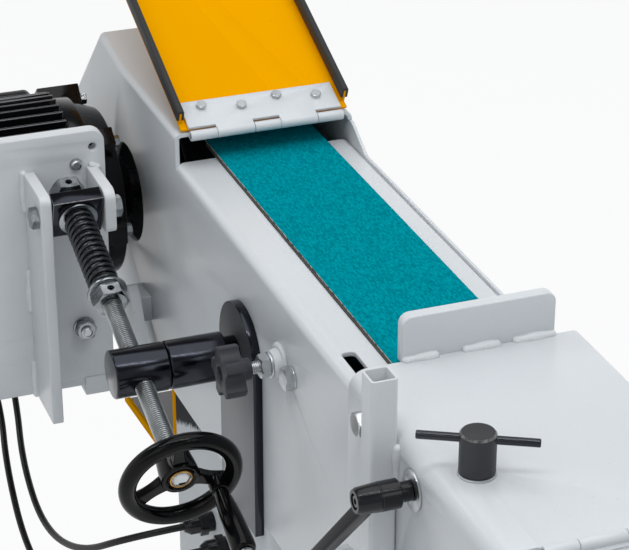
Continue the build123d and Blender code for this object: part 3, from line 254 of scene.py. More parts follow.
def enamel(name, tint, gloss, peel=0.00006, mottle=0.05, mirror=0.5, shade_mask=None):
    paint = Finish(name)
    slow = paint.noise(5.0, 3.0)
    specks = paint.noise(420.0, 2.0).above(0.66, 0.76)
    base = paint.mix(slow, shade_of(tint, 1.0 - 2.0 * mottle), tint)
    base = paint.mix(specks * 0.22, base, shade_of(tint, 0.55))
    rough = gloss + 0.10 * paint.noise(30.0, 3.0)
    # Where a shade mask is given, painted shade is mixed in and the paint turns rougher there.
    if shade_mask:
        share = shade_mask(paint)
        base = paint.mix(share, base, PAINTED_SHADE)
        rough = rough + 0.6 * share
    skin = paint.noise(650.0, 1.5)
    return paint.done(
        Base_Color=base,
        Roughness=rough,
        Normal=paint.bump(skin, peel),
        Specular_IOR_Level=mirror,
    )


grey_enamel = enamel("grey_enamel", GREY, 0.27, 0.00012, mirror=0.45)
yellow_enamel = enamel("yellow_enamel", colour(232, 159, 0), 0.36, 0.00003, 0.02, 0.0)
black_enamel = enamel("black_enamel", colour(13, 13, 15), 0.12, 0.00004, 0.1, 0.24)
# A paler, glossier black for the motor's bevels: a painted highlight.
black_edge_highlight = enamel("black_edge_highlight", colour(84, 86, 90), 0.10, 0.00004, 0.1, 1.0)
print("enamels ready")

# %% [markdown]
# The bare metals: zinc plate on screws and washers is bright and slightly cloudy, turned steel has fine
# lines, and blackened steel keeps a metal's gloss under a nearly black skin. Where a corner has rubbed, the
# black is worn to bright steel: that is a finish of its own, which a bevel can put on the corners only.


# %% Metals
def plated(name, tint, dull, gloss, cloud=180.0):
    metal = Finish(name)
    patch = metal.noise(cloud, 4.0, 0.6)
    base = metal.mix(patch.above(0.3, 0.7), dull, tint)
    scratch = metal.noise(900.0, 2.0, 0.5, metal.place((1.0, 1.0, 0.15)))
    return metal.done(
        Base_Color=base,
        Metallic=1.0,
        Roughness=gloss + 0.16 * patch,
        Normal=metal.bump(scratch, 0.00003),
    )


zinc = plated("zinc_plate", colour(164, 169, 172), colour(120, 125, 128), 0.14, 60.0)
bright_zinc = plated("bright_zinc", colour(204, 208, 211), colour(176, 180, 182), 0.26, 60.0)
turned_steel = plated("turned_steel", colour(172, 173, 174), colour(120, 121, 122), 0.22, 400.0)
worn_steel = plated("worn_steel", colour(132, 132, 133), colour(88, 88, 89), 0.30, 400.0)
brass = plated("brass", colour(206, 164, 92), colour(138, 100, 54), 0.25)


def blackened(name, tint, gloss, metallic=1.0):
    metal = Finish(name)
    patch = metal.noise(120.0, 4.0, 0.6)
    wear_and_highlight = metal.noise(35.0, 5.0, 0.6).above(0.62, 0.84)
    grain = metal.noise(1100.0, 3.0, 0.6)
    base = metal.mix(0.14 * wear_and_highlight + 0.06 * grain, tint, colour(112, 114, 120))
    return metal.done(
        Base_Color=base,
        Metallic=metallic,
        Roughness=gloss + 0.10 * patch,
        Normal=metal.bump(grain, 0.000015),
        Specular_IOR_Level=0.3,
    )


black_steel = blackened("blackened_steel", colour(46, 48, 54), 0.12)
spring_steel = blackened("spring_steel", colour(58, 60, 64), 0.12)
# A nearly black finish for the painted shade in thread grooves.
painted_thread_shade = blackened("painted_thread_shade", colour(18, 18, 19), 0.5)
turned_black = blackened("turned_black", colour(60, 60, 63), 0.42, 0.5)
print("metals ready")

# %% [markdown]
# Moulded plastic and rubber share one recipe: a dark tone, a fine grain from the mould, and a roughness
# that changes a little where hands have polished it.


# %% Plastics and rubber
def moulded(name, tint, gloss, grain, depth, mirror=0.35):
    plastic = Finish(name)
    polish = plastic.noise(40.0, 3.0)
    return plastic.done(
        Base_Color=plastic.mix(0.5 * polish, tint, shade_of(tint, 1.5)),
        Roughness=gloss + 0.12 * polish,
        Normal=plastic.bump(plastic.noise(grain, 2.0), depth),
        Specular_IOR_Level=mirror,
    )


gloss_plastic = moulded("gloss_plastic", colour(8, 8, 9), 0.04, 900.0, 0.000003, 0.15)
matte_plastic = moulded("matte_plastic", colour(46, 47, 52), 0.40, 1600.0, 0.00006, 0.3)
lever_plastic = moulded("lever_plastic", colour(19, 20, 24), 0.14, 1500.0, 0.00002, 0.3)
rubber = moulded("edge_rubber", colour(44, 44, 46), 0.50, 700.0, 0.00005, 0.3)
cable_skin = moulded("cable_skin", colour(20, 20, 22), 0.34, 500.0, 0.00002, 0.35)
graphite = moulded("graphite_pad", colour(72, 70, 68), 0.6, 500.0, 0.0002, 0.1)
print("plastics ready")

# %% [markdown]
# The belt is cloth with a teal coat of abrasive grains. The coat has soft streaks along the belt, a few
# millimetres wide, and a fine dark grain over them. It doesn't shine. Its cut edges show the frayed cloth,
# light with dark gaps, so the normal picks out the faces that look sideways.


# %% Abrasive
def abrasive():
    grit = Finish("teal_abrasive")
    streak = grit.noise(640.0, 2.0, 0.6, grit.place((1.0, 0.36, 1.0)))
    grain = grit.noise(1400.0, 2.0, 0.7)
    slow = grit.noise(22.0, 3.0)
    teal = grit.mix(streak.above(0.28, 0.72), colour(0, 106, 119), colour(2, 145, 157))
    teal = grit.mix(slow * 0.25, teal, colour(0, 132, 146))
    teal = grit.mix(grain.above(0.54, 0.70) * 0.55, teal, colour(0, 104, 118))
    sideways = grit.node("ShaderNodeSeparateXYZ", Vector=grit.node("ShaderNodeNewGeometry", output="Normal"))
    edge = (sideways * sideways).above(0.6, 0.9)
    frayed = grit.noise(160.0, 4.0, 0.7).above(0.40, 0.52)
    cloth = grit.mix(frayed, colour(96, 84, 68), colour(224, 214, 194))
    return grit.done(
        Base_Color=grit.mix(edge, teal, cloth),
        Roughness=0.9,
        Normal=grit.bump(0.6 * streak + 0.4 * grain, 0.0003),
        Specular_IOR_Level=0.0,
    )


teal_abrasive = abrasive()
print("abrasive ready")

# %% [markdown]
# Two motor cables leave glands on the column, sag, and run up behind the motor to its terminal box. Each is
# one smooth NURBS line through the same route points as the solid, then a round tube along it. The far end
# follows the motor when it tilts, so the tube is blended between the two bodies.

# %% Cables
BODIES = {name: node["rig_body"] for name, node in nodes.items()}
CABLE_RADIUS = 3.2
UPPER_ROUTE = [
    (-110.0, -90.0, -318.0),
    (-160.0, -90.0, -318.0),
    (-192.0, -30.0, -364.0),
    (-205.0, 52.0, -384.0),
    (-204.0, 130.0, -358.0),
    (-190.0, 205.0, -330.0),
    (-190.0, 262.0, -270.0),
    (-172.0, 271.4, -216.3),
    (-172.0, 271.4, -168.3),
]
LOWER_ROUTE = [
    (-110.0, -140.0, -313.0),
    (-160.0, -140.0, -313.0),
    (-192.0, -86.0, -370.0),
    (-212.0, -14.0, -416.0),
    (-221.0, 62.0, -408.0),
    (-219.0, 135.0, -362.0),
    (-206.0, 205.0, -334.0),
    (-213.0, 258.0, -278.0),
    (-205.0, 271.4, -216.3),
    (-205.0, 271.4, -168.3),
]


def route_curve(name, route):
    data = bpy.data.curves.new(name, "CURVE")
    data.dimensions = "3D"
    data.resolution_u = 10
    spline = data.splines.new("NURBS")
    spline.points.add(len(route) - 1)
    for point, place in zip(spline.points, route):
        point.co = (*head(*place), 1.0)
    spline.order_u = 3
    spline.use_endpoint_u = True
    curve = bpy.data.objects.new(name, data)
    scene.collection.objects.link(curve)
    return curve


def lay_cable(name, route):
    curve = route_curve(name + "_line", route)
    depsgraph = bpy.context.evaluated_depsgraph_get()
    line = bpy.data.meshes.new_from_object(curve.evaluated_get(depsgraph))
    curve.data.bevel_depth = CABLE_RADIUS * MM
    curve.data.bevel_resolution = 4
    curve.data.use_fill_caps = True
    depsgraph = bpy.context.evaluated_depsgraph_get()
    tube = bpy.data.meshes.new_from_object(curve.evaluated_get(depsgraph))
    bpy.data.objects.remove(curve)
    cable = bpy.data.objects.new(name + "_tube", tube)
    scene.collection.objects.link(cable)
    tube.materials.clear()
    tube.materials.append(cable_skin)
    for face in tube.polygons:
        face.use_smooth = True
    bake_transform(cable, "frame", "motor_carrier", start=tuple(head(*route[3])), end=tuple(head(*route[-2])))
    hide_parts(name)


lay_cable("cable_upper", UPPER_ROUTE)
lay_cable("cable_lower", LOWER_ROUTE)

# %% [markdown]
# The shapes of most pieces are right as they come, but their meshes are loose triangles. So each solid is
# copied, its points are merged and its flat faces cleaned, which leaves only real edges. The copy takes the
# solid's place and rides on the same body.

# %% Copying a solid
MERGE = 0.01 * MM


def only(piece):
    if bpy.context.mode != "OBJECT":
        bpy.ops.object.mode_set(mode="OBJECT")
    bpy.ops.object.select_all(action="DESELECT")
    piece.select_set(True)
    bpy.context.view_layer.objects.active = piece


def modify(piece, kind, **settings):
    """Adds a modifier and applies it at once."""
    only(piece)
    modifier = piece.modifiers.new(kind.lower(), kind)
    for key, value in settings.items():
        setattr(modifier, key, value)
    bpy.ops.object.modifier_apply(modifier=modifier.name)


def copy_of(name):
    """A merged copy of a node's mesh, with clean flat faces."""
    piece = bpy.data.objects.new(name + "_piece", nodes[name].data.copy())
    scene.collection.objects.link(piece)
    only(piece)
    bpy.ops.mesh.customdata_custom_splitnormals_clear()
    bpy.ops.object.mode_set(mode="EDIT")
    bpy.ops.mesh.select_all(action="SELECT")
    bpy.ops.mesh.remove_doubles(threshold=MERGE)
    bpy.ops.mesh.dissolve_limited(angle_limit=math.radians(0.5))
    bpy.ops.object.mode_set(mode="OBJECT")
    return piece


def coat(piece, *finishes):
    piece.data.materials.clear()
    for finish in finishes:
        piece.data.materials.append(finish)


def stand_in(piece, name):
    """The piece takes the place of this node and moves with its body, unless it bends between two."""
    if "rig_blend" not in piece:
        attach(piece, BODIES[name])
    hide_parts(name)


# %% [markdown]
# A folded or turned piece never has knife edges, and it is the thin light line along an edge that makes
# metal look solid. A small Bevel makes that line. It takes only edges sharper than an angle, so curved
# faces stay as they are. It can also give its own faces a second finish: that is how the rubbed corners of
# blackened pieces are made, and the painted highlight of paler black along the motor's edges.

# %% Rounding edges
CREASE = 38.0
BEVEL = {"use_clamp_overlap": False, "miter_outer": "MITER_ARC"}


def smooth(piece, crease=CREASE):
    only(piece)
    bpy.ops.object.shade_smooth_by_angle(angle=math.radians(crease))


def round_edges(piece, width, segments=2, crease=CREASE, wear_and_highlight=-1):
    """Bevels all edges sharper than the crease. Faces of the bevel may take the second finish."""
    modify(
        piece, "BEVEL", width=width * MM, segments=segments, limit_method="ANGLE",
        angle_limit=math.radians(crease), material=wear_and_highlight, **BEVEL,
    )
    smooth(piece, crease)


def dress(name, finish, soft=0.5, segments=2, wear_and_highlight=None):
    """Copies a solid, rounds its edges and gives it a finish. The edges may take a second one, such as worn
    steel or the motor's painted highlight.
    """
    piece = copy_of(name)
    if wear_and_highlight:
        coat(piece, finish, wear_and_highlight)
        round_edges(piece, soft, segments, wear_and_highlight=1)
    else:
        coat(piece, finish)
        round_edges(piece, soft, segments)
    stand_in(piece, name)
    return piece


# %% [markdown]
# Most of the grey sheets stand free or only touch their neighbours, so all their edges are rounded.

# %% Grey sheets
GREY_SHEETS = (
    "base_plate", "bottom_tray", "front_hood", "access_door", "front_flap", "square_tube",
    "roller_arm", "door_hinge_leaves", "door_leaves", "cover_hinge_leaf", "cover_leaf", "pivot_gusset",
)
for name in GREY_SHEETS:
    dress(name, grey_enamel, 0.6)
print("grey sheets", len(GREY_SHEETS))

# %% [markdown]
# The wall, the platform and the rear hood are welded together and ground flush. If every edge were rounded,
# a groove would show along each seam. So a sharp edge gets bevel weight only where it doesn't lie on a
# neighbour, and the Bevel goes by that weight.

# %% Flush sheets
FLUSH = 0.1


def mark_free_edges(piece, neighbours):
    """Gives bevel weight to sharp edges, apart from those that lie on a neighbouring solid."""
    trees = []
    for name in neighbours:
        mesh = nodes[name].data
        faces = [face.vertices for face in mesh.polygons]
        trees.append(BVHTree.FromPolygons([v.co for v in mesh.vertices], faces))
    sides = {}
    for face in piece.data.polygons:
        for key in face.edge_keys:
            sides.setdefault(key, []).append(face.normal)
    weights = piece.data.attributes.new("bevel_weight_edge", "FLOAT", "EDGE")
    for edge in piece.data.edges:
        normals = sides.get(edge.key, [])
        sharp = len(normals) == 2 and normals[0].angle(normals[1], 0.0) > math.radians(CREASE)
        ends = [piece.data.vertices[index].co for index in edge.vertices]
        points = [ends[0], ends[1], (ends[0] + ends[1]) / 2.0]
        flush = any(all(tree.find_nearest(point)[3] < FLUSH * MM for point in points) for tree in trees)
        weights.data[edge.index].value = 1.0 if sharp and not flush else 0.0


def dress_flush(name, finish, neighbours, soft=0.6):
    piece = copy_of(name)
    coat(piece, finish)
    mark_free_edges(piece, neighbours)
    modify(piece, "BEVEL", width=soft * MM, segments=2, limit_method="WEIGHT", **BEVEL)
    smooth(piece)
    stand_in(piece, name)


dress_flush("left_wall", grey_enamel, ("platform", "rear_hood"))
dress_flush("platform", grey_enamel, ("left_wall", "rear_hood"))
dress_flush("rear_hood", grey_enamel, ("left_wall", "platform", "bottom_tray"))
print("flush sheets ready")

# %% [markdown]
# The other plain solids differ in finish and edge: thick plates and castings have a wide radius, turned
# pieces a fine one. On the motor the bevels take the paler black as a painted highlight, and on the spindle's
# block worn steel.

# %% Other plain solids
for name in ("stop_plate", "motor_plate", "plate_weldments"):
    dress(name, grey_enamel, 1.2, 3)
dress("belt_cover", yellow_enamel, 0.5)
dress("cover_trim", rubber, 0.4)
# The motor's bevels take a paler black: a painted highlight for the thin light lines along its edges.
for name in ("motor_body", "terminal_box"):
    dress(name, black_enamel, 0.7, wear_and_highlight=black_edge_highlight)
for name in ("end_shield", "fan_cowl"):
    dress(name, black_enamel, 0.9)
dress("trunnion_block", black_steel, 0.7, wear_and_highlight=worn_steel)
for name in ("support_bar", "spindle_nut"):
    dress(name, black_steel, 0.5)
for name in ("pivot_shaft", "roller_axle", "motor_shaft", "hinge_pins", "roller_bearings", "contact_roller"):
    dress(name, turned_steel, 0.3)
for name in ("column_glands", "motor_glands", "door_handle"):
    dress(name, lever_plastic, 0.5)
dress("drive_wheel", rubber, 0.8)
coat(nodes["platen_pad"], graphite)
print("dressed solids")

# %% [markdown]
# Three pieces have one finish on some faces and another elsewhere. The bracket plate is blackened, and
# its wide faces carry painted light and shade: dark at the top, paler toward the foot. The spark guard is
# yellow outside, but grey dust covers its floor. On the column a ragged band of painted shade hangs under
# the wall's lower edge, beside the spark guard. Here the normal of each face decides which finish it takes.


# %% Faces with a second finish
def dust_and_shade(name, clean, lower_tone, top, foot):
    """A finish that turns from one colour to another between two heights, in millimetres from the belt's
    face: painted light and shade on the bracket plate, dust on the spark guard's floor.
    """
    graded = Finish(name)
    height = graded.node("ShaderNodeSeparateXYZ", output="Z", Vector=graded.place())
    low = (HEAD.z + foot) * MM
    high = (HEAD.z + top) * MM
    lower_share = 1.0 - (height + 0.012 * graded.noise(40.0, 4.0, 0.6)).above(low, high)
    grain = graded.noise(900.0, 3.0, 0.6)
    return graded.done(
        Base_Color=graded.mix(lower_share * (0.85 + 0.3 * grain), clean, lower_tone),
        Roughness=0.38 + 0.14 * grain,
        Specular_IOR_Level=0.3,
    )


def second_finish(piece, index, test):
    for face in piece.data.polygons:
        if test(face):
            face.material_index = index


WALL_FOOT = (HEAD.z - 243.0) * MM
SOOT_FRONT = (HEAD.y - 62.0) * MM


def painted_shade_under_wall(paint):
    """Painted shade under the wall's lower edge that reaches further down toward the column's rear corner,
    with a ragged lower edge.
    """
    along = paint.node("ShaderNodeSeparateXYZ", output="Y", Vector=paint.place())
    height = paint.node("ShaderNodeSeparateXYZ", output="Z", Vector=paint.place())
    ragged = paint.noise(330.0, 4.0, 0.7, paint.place((1.0, 1.0, 0.25)))
    reach = (along - SOOT_FRONT) * 0.42 - (WALL_FOOT - height)
    return (reach + 0.020 * (ragged - 0.5)).above(0.0, 0.006) * 0.93


column = dress("column", grey_enamel, 0.6)
# The column's left face takes painted shade under the wall's lower edge.
column.data.materials.append(enamel("painted_shade_enamel", GREY, 0.36, 0.00012, 0.05, 0.1, painted_shade_under_wall))
second_finish(column, 1, lambda face: face.normal.x < -0.9)
bracket = dress("bracket_plate", black_steel, 0.8)
# Painted light and shade on the bracket plate's wide faces: dark at the top, paler toward the foot.
bracket.data.materials.append(dust_and_shade("painted_shade_black", colour(52, 53, 57), colour(116, 118, 122), -60.0, -170.0))
second_finish(bracket, 1, lambda face: abs(face.normal.x) > 0.9)
guard = dress("lower_guard", yellow_enamel, 0.5)
guard.data.materials.append(dust_and_shade("guard_dust", colour(96, 97, 99), colour(112, 113, 116), -200.0, -360.0))
GUARD_INSIDE = (HEAD.x - 78.0) * MM
second_finish(guard, 1, lambda face: face.normal.z > 0.5 and face.center.x > GUARD_INSIDE)
print("column, bracket and guard dusted")

# %% [markdown]
# The belt bends with the motor's tilt: its rear loop goes with the drive wheel, while its face on the pad
# and its front loop at the roller stay where they are. A straight run has points at its two ends only, so
# it is cut across behind the pad where it has to bend.

# %% Belt
PAD_END = 22.0
WHEEL_TANGENT = 150.0
BELT_CUTS = 7
BELT_MIDDLE = 6.0
belt = copy_of("grinding_belt")
bpy.ops.object.mode_set(mode="EDIT")
for number in range(BELT_CUTS):
    cut = PAD_END + (WHEEL_TANGENT - PAD_END) * number / (BELT_CUTS - 1)
    bpy.ops.mesh.select_all(action="SELECT")
    bpy.ops.mesh.bisect(plane_co=tuple(head(0.0, cut, 0.0)), plane_no=(0.0, 1.0, 0.0))
bpy.ops.object.mode_set(mode="OBJECT")
smooth(belt, 30.0)
coat(belt, teal_abrasive)
bend_start = tuple(head(BELT_MIDDLE, PAD_END, 0.0))
bend_end = tuple(head(BELT_MIDDLE, WHEEL_TANGENT, 0.0))
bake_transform(belt, "frame", "motor_carrier", start=bend_start, end=bend_end)
stand_in(belt, "grinding_belt")
print("belt", len(belt.data.polygons), "faces")

# %% [markdown]
# The small pieces were turned on a lathe. To turn one here, a disc is added and pulled up ring by ring:
# each pull is an Extrude, and each change of radius is a Resize about the axis. Pieces are modelled upright
# at the origin, in millimetres, and then set on their place with their Z along the real axis.


# %% Turning, cutting and setting in place
def turned(name, rings, sides=48):
    """A solid of revolution about Z. Rings are (radius, height) in millimetres, from the foot up."""
    radius, height = rings[0]
    bpy.ops.object.select_all(action="DESELECT")
    bpy.ops.mesh.primitive_circle_add(
        vertices=sides, radius=radius * MM, fill_type="NGON", location=(0.0, 0.0, height * MM)
    )
    piece = bpy.context.object
    piece.name = name
    bpy.ops.object.transform_apply(location=True, rotation=True, scale=True)
    bpy.ops.object.mode_set(mode="EDIT")
    bpy.ops.mesh.select_all(action="SELECT")
    for next_radius, next_height in rings[1:]:
        rise = (0.0, 0.0, (next_height - height) * MM)
        ratio = next_radius / radius
        bpy.ops.mesh.extrude_region_move(TRANSFORM_OT_translate={"value": rise})
        bpy.ops.transform.resize(value=(ratio, ratio, 1.0), center_override=(0.0, 0.0, next_height * MM))
        radius, height = next_radius, next_height
    bpy.ops.mesh.select_all(action="SELECT")
    bpy.ops.mesh.normals_make_consistent(inside=False)
    bpy.ops.object.mode_set(mode="OBJECT")
    return piece


def carve(piece, tool, how="DIFFERENCE"):
    """Cuts the tool out of a piece, or keeps only what both share."""
    modify(piece, "BOOLEAN", object=tool, operation=how, solver="EXACT")
    bpy.data.objects.remove(tool)


def twin(piece):
    copy = bpy.data.objects.new(piece.name, piece.data.copy())
    scene.collection.objects.link(copy)
    return copy


def apply_place(piece):
    only(piece)
    bpy.ops.object.transform_apply(location=True, rotation=True, scale=True)
    return piece


def set_on(piece, origin, axis=(0.0, 0.0, 1.0), turn=0.0):
    """Sets an upright piece on its place: foot at the origin, Z along the axis, Y as far up as it goes."""
    lean = Vector(axis).to_track_quat("Z", "Y").to_matrix().to_4x4()
    spin = Matrix.Rotation(math.radians(turn), 4, "Z")
    piece.matrix_world = Matrix.Translation(head(*origin)) @ lean @ spin
    return apply_place(piece)


def gather(name, pieces):
    """Joins pieces into one."""
    only(pieces[0])
    for piece in pieces:
        piece.select_set(True)
    bpy.ops.object.join()
    joined = bpy.context.object
    joined.name = name
    return apply_place(joined)


# %% [markdown]
# A hexagon head is a six-sided prism whose corners are turned off at 30 degrees. So a six-sided cylinder is
# cut by a cone, which leaves the curved chamfer lines of a real nut. A washer is a disc with a bore.

# %% Nuts, heads and washers
CHAMFER = math.tan(math.radians(60.0))
CROWN = 0.475


def hexagon(name, flats, height, both_ends=False):
    corner = 0.5 * flats / math.cos(math.radians(30.0))
    bpy.ops.object.select_all(action="DESELECT")
    bpy.ops.mesh.primitive_cylinder_add(
        vertices=6, radius=corner * MM, depth=height * MM, location=(0.0, 0.0, 0.5 * height * MM),
        rotation=(0.0, 0.0, math.radians(30.0)),
    )
    nut = apply_place(bpy.context.object)
    nut.name = name
    crown = CROWN * flats
    carve(nut, turned("cone", [(crown + CHAMFER * height, 0.0), (crown, height)], 60), "INTERSECT")
    if both_ends:
        carve(nut, turned("cone", [(crown, 0.0), (crown + CHAMFER * height, height)], 60), "INTERSECT")
    smooth(nut, 20.0)
    return nut


def washer(name, radius, bore, thick):
    ring = turned(name, [(radius, 0.0), (radius, thick)], 64)
    carve(ring, turned("bore", [(bore, -1.0), (bore, thick + 1.0)], 48))
    round_edges(ring, 0.3, 2)
    return ring


# %% [markdown]
# A thread is a zigzag line wound up a cylinder. One tooth is drawn by extruding a single point, the Screw
# modifier winds it with the pitch of the thread, and merging the turns makes one skin. The chamfered core
# closes both ends. The roots and the flanks that look down take a second, nearly black finish: painted
# shade in the grooves.


# %% Threads
TOOTH = 0.58


def wind(piece, steps, **settings):
    """Winds a line round Z with the Screw modifier."""
    modify(
        piece, "SCREW", axis="Z", angle=2.0 * math.pi, steps=steps, render_steps=steps, use_smooth_shade=True,
        **settings,
    )


def close_skin(piece, merge=False, fill=True):
    """Merges points and fills open ends where asked, then turns all faces outward."""
    only(piece)
    bpy.ops.object.mode_set(mode="EDIT")
    bpy.ops.mesh.select_all(action="SELECT")
    if merge:
        bpy.ops.mesh.remove_doubles(threshold=MERGE)
    if fill:
        bpy.ops.mesh.fill_holes(sides=0)
    bpy.ops.mesh.select_all(action="SELECT")
    bpy.ops.mesh.normals_make_consistent(inside=False)
    bpy.ops.object.mode_set(mode="OBJECT")


def threaded(name, radius, pitch, start, end, steps=28):
    root = radius - TOOTH * pitch
    turns = math.floor((end - start - 1.2) / pitch)
    bpy.ops.object.select_all(action="DESELECT")
    bpy.ops.mesh.primitive_plane_add(size=MM)
    thread = bpy.context.object
    bpy.ops.object.mode_set(mode="EDIT")
    bpy.ops.mesh.select_all(action="SELECT")
    bpy.ops.mesh.merge(type="CENTER")
    bpy.ops.transform.translate(value=(root * MM, 0.0, (start + 0.6) * MM))
    for out, rise in ((0.0, 0.26), (radius - root, 0.20), (0.0, 0.34), (root - radius, 0.20)):
        way = (out * MM, 0.0, rise * pitch * MM)
        bpy.ops.mesh.extrude_vertices_move(TRANSFORM_OT_translate={"value": way})
    bpy.ops.object.mode_set(mode="OBJECT")
    wind(thread, steps, screw_offset=pitch * MM, iterations=turns)
    close_skin(thread, merge=True)
    coat(thread, bright_zinc, painted_thread_shade)
    # Faces in the root or looking down take the painted shade.
    for face in thread.data.polygons:
        inward = Vector((face.center.x, face.center.y)).length < (root + 0.1 * pitch) * MM
        face.material_index = 1 if inward or face.normal.z < -0.3 else 0
    tip = root - 0.8
    body = root + 0.1
    core = turned("core", [(tip, start), (body, start + 0.8), (body, end - 0.8), (tip, end)])
    coat(core, bright_zinc, painted_thread_shade)
    rod = gather(name, [thread, core])
    smooth(rod, 30.0)
    return rod


# %% [markdown]
# The tension spindle is the heart of the machine: a 16 mm threaded rod that leans back from the handwheel
# to the block on the motor's plate. Its frame has its origin at the block's pivot and its Z toward the
# handwheel.

# %% Spindle, collars and washers
SPINDLE_FOOT = (-172.8, -7.0, -34.0)
LEAN = math.atan2(61.5, 180.0)
SPINDLE_AXIS = Vector((0.0, -math.cos(LEAN), -math.sin(LEAN)))
SPINDLE_UP = Vector((0.0, -math.sin(LEAN), math.cos(LEAN)))
COLLARS = (-31.0, 100.8)
WASHERS = (7.8, 98.3)
COLLAR_LENGTH = 14.0


def on_spindle(piece):
    return set_on(piece, SPINDLE_FOOT, SPINDLE_AXIS)


def spindle_point(up_way, along):
    return Vector(SPINDLE_FOOT) + SPINDLE_UP * up_way + SPINDLE_AXIS * along


spindle = on_spindle(threaded("tension_spindle_piece", 8.0, 2.0, -34.0, 308.0))
stand_in(spindle, "tension_spindle")

collar = hexagon("collar", 27.0, COLLAR_LENGTH, True)
carve(collar, turned("bore", [(8.9, -1.0), (8.0, 1.2), (8.0, 12.8), (8.9, 15.0)]))
grub_hole = turned("hole", [(3.0, 9.0), (3.0, 14.0)], 28)
sideways = Matrix.Rotation(math.radians(-90.0), 4, "X")
grub_hole.matrix_world = Matrix.Translation((0.0, 0.0, 0.5 * COLLAR_LENGTH * MM)) @ sideways
carve(collar, apply_place(grub_hole))
smooth(collar, 25.0)
plate_washer = washer("plate_washer", 17.0, 8.5, 2.5)
for model, places, name in ((collar, COLLARS, "spindle_collars"), (plate_washer, WASHERS, "spring_washers")):
    pair = [model, twin(model)]
    for piece, at in zip(pair, places):
        piece.data.transform(Matrix.Translation((0.0, 0.0, at * MM)))
        on_spindle(piece)
    joined = gather(name + "_piece", pair)
    coat(joined, zinc)
    stand_in(joined, name)
print("spindle", len(spindle.data.polygons), "faces")

# %% [markdown]
# In each collar sits a black grub screw with a hexagon socket. It is one turned slug with the socket cut
# out. It is too small to be a solid of its own, so it is only a form in the scene that rides with its
# collar.


# %% Grub screws
def extra(piece, finish, body):
    """A small form with no solid of its own takes a finish and rides on a body."""
    coat(piece, finish)
    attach(piece, body)


slug = turned("slug", [(2.5, 0.0), (2.9, 0.4), (2.9, 3.2), (2.4, 3.7)], 28)
socket = hexagon("socket", 3.0, 4.0)
socket.data.transform(Matrix.Translation((0.0, 0.0, 1.6 * MM)))
carve(slug, socket)
smooth(slug, 25.0)
slugs = [slug, twin(slug)]
for piece, at in zip(slugs, COLLARS):
    set_on(piece, spindle_point(8.6, at + 0.5 * COLLAR_LENGTH), SPINDLE_UP)
grub_screws = gather("grub_screws", slugs)
extra(grub_screws, black_steel, BODIES["spindle_collars"])
print("grub screws", len(grub_screws.data.polygons), "faces")

# %% [markdown]
# The spring is black round wire. A circle of the wire's section stands beside the axis, and the Screw
# modifier winds it thirteen times with the pitch that just fills the space between the washers.


# %% Spring
def wound(section, reach, height, sides, steps, **settings):
    """A ring or coil: a circle beside the axis, carried round it by the Screw modifier."""
    bpy.ops.object.select_all(action="DESELECT")
    bpy.ops.mesh.primitive_circle_add(
        vertices=sides, radius=section * MM, location=(reach * MM, 0.0, height * MM),
        rotation=(math.pi / 2.0, 0.0, 0.0),
    )
    piece = apply_place(bpy.context.object)
    wind(piece, steps, **settings)
    return piece


COIL_RADIUS = 11.5
WIRE_RADIUS = 2.0
COIL_FROM = 12.3
COIL_RISE = 84.0
COIL_TURNS = 13
COIL_PITCH = COIL_RISE / COIL_TURNS
spring = wound(
    WIRE_RADIUS, COIL_RADIUS, COIL_FROM, 16, 40, screw_offset=COIL_PITCH * MM, iterations=COIL_TURNS
)
spring.name = "tension_spring_piece"
close_skin(spring)
smooth(spring, 60.0)
on_spindle(spring)
coat(spring, spring_steel)
stand_in(spring, "tension_spring")
print("spring", len(spring.data.polygons), "faces")

# %% [markdown]
# Four small hexagon screws hold the cover on its hinge leaf. Each kind of screw is modelled once. Copies
# with their own meshes are set on their places, turned a little differently, as a fitter leaves them.

# %% Cover screws
COVER_HINGE = (0.0, -13.5, 23.5)
COVER_OPEN = math.radians(22.5)
COVER_UP = Vector((0.0, -math.sin(COVER_OPEN), math.cos(COVER_OPEN)))
COVER_BACK = Vector((0.0, math.cos(COVER_OPEN), math.sin(COVER_OPEN)))
LEAF_TOP = 4.5
small_head = hexagon("small_head", 8.0, 3.5)
heads = []
for number, (x, back) in enumerate(((-52.0, 29.0), (-17.0, 23.0), (17.0, 29.0), (52.0, 23.0))):
    place = Vector(COVER_HINGE) + Vector((x, 0.0, 0.0)) + COVER_BACK * back + COVER_UP * LEAF_TOP
    heads.append(set_on(twin(small_head), place, COVER_UP, 17.0 * number))
bpy.data.objects.remove(small_head)
cover_screws = gather("cover_bolts_piece", heads)
coat(cover_screws, bright_zinc)
stand_in(cover_screws, "cover_bolts")
print("cover screws", len(heads))

# %% [markdown]
# On the motor's carrier two stud ends show near the plate's top, and two more carry washers and nuts lower
# down. Two bolts hold the block between rib and lug, and four small screws with washers hold the motor's
# end. The studs have a real thread, because each turn of it catches the light.

# %% Screws on the motor's carrier
RIB_FACE = -206.0
LEFT = (-1.0, 0.0, 0.0)
RIGHTWARD = (1.0, 0.0, 0.0)
FRONT = (0.0, -1.0, 0.0)
PLATE_FRONT = 40.0
MOTOR_AXIS = (152.0, -91.3)
FOOT_STUDS = (-158.6, -298.6)
FOOT_TOP = -11.3
FOOT_LOW = -171.3
BLOCK_PIVOT = (-7.0, -34.0)
EARS = ((51.0, 90.0), (128.0, 90.0), (182.0, 86.0), (309.0, 90.0))
EAR_FACE = -110.0
big_head = hexagon("big_head", 17.0, 7.0)
big_nut = hexagon("big_nut", 17.0, 8.0, True)
flat_washer = washer("flat_washer", 10.0, 5.3, 2.0)
stud_end = threaded("stud_end", 5.0, 1.5, -8.0, 13.5, 24)
ear_head = hexagon("ear_head", 10.0, 5.5)
ear_washer = washer("ear_washer", 7.0, 3.0, 1.0)
carrier = []
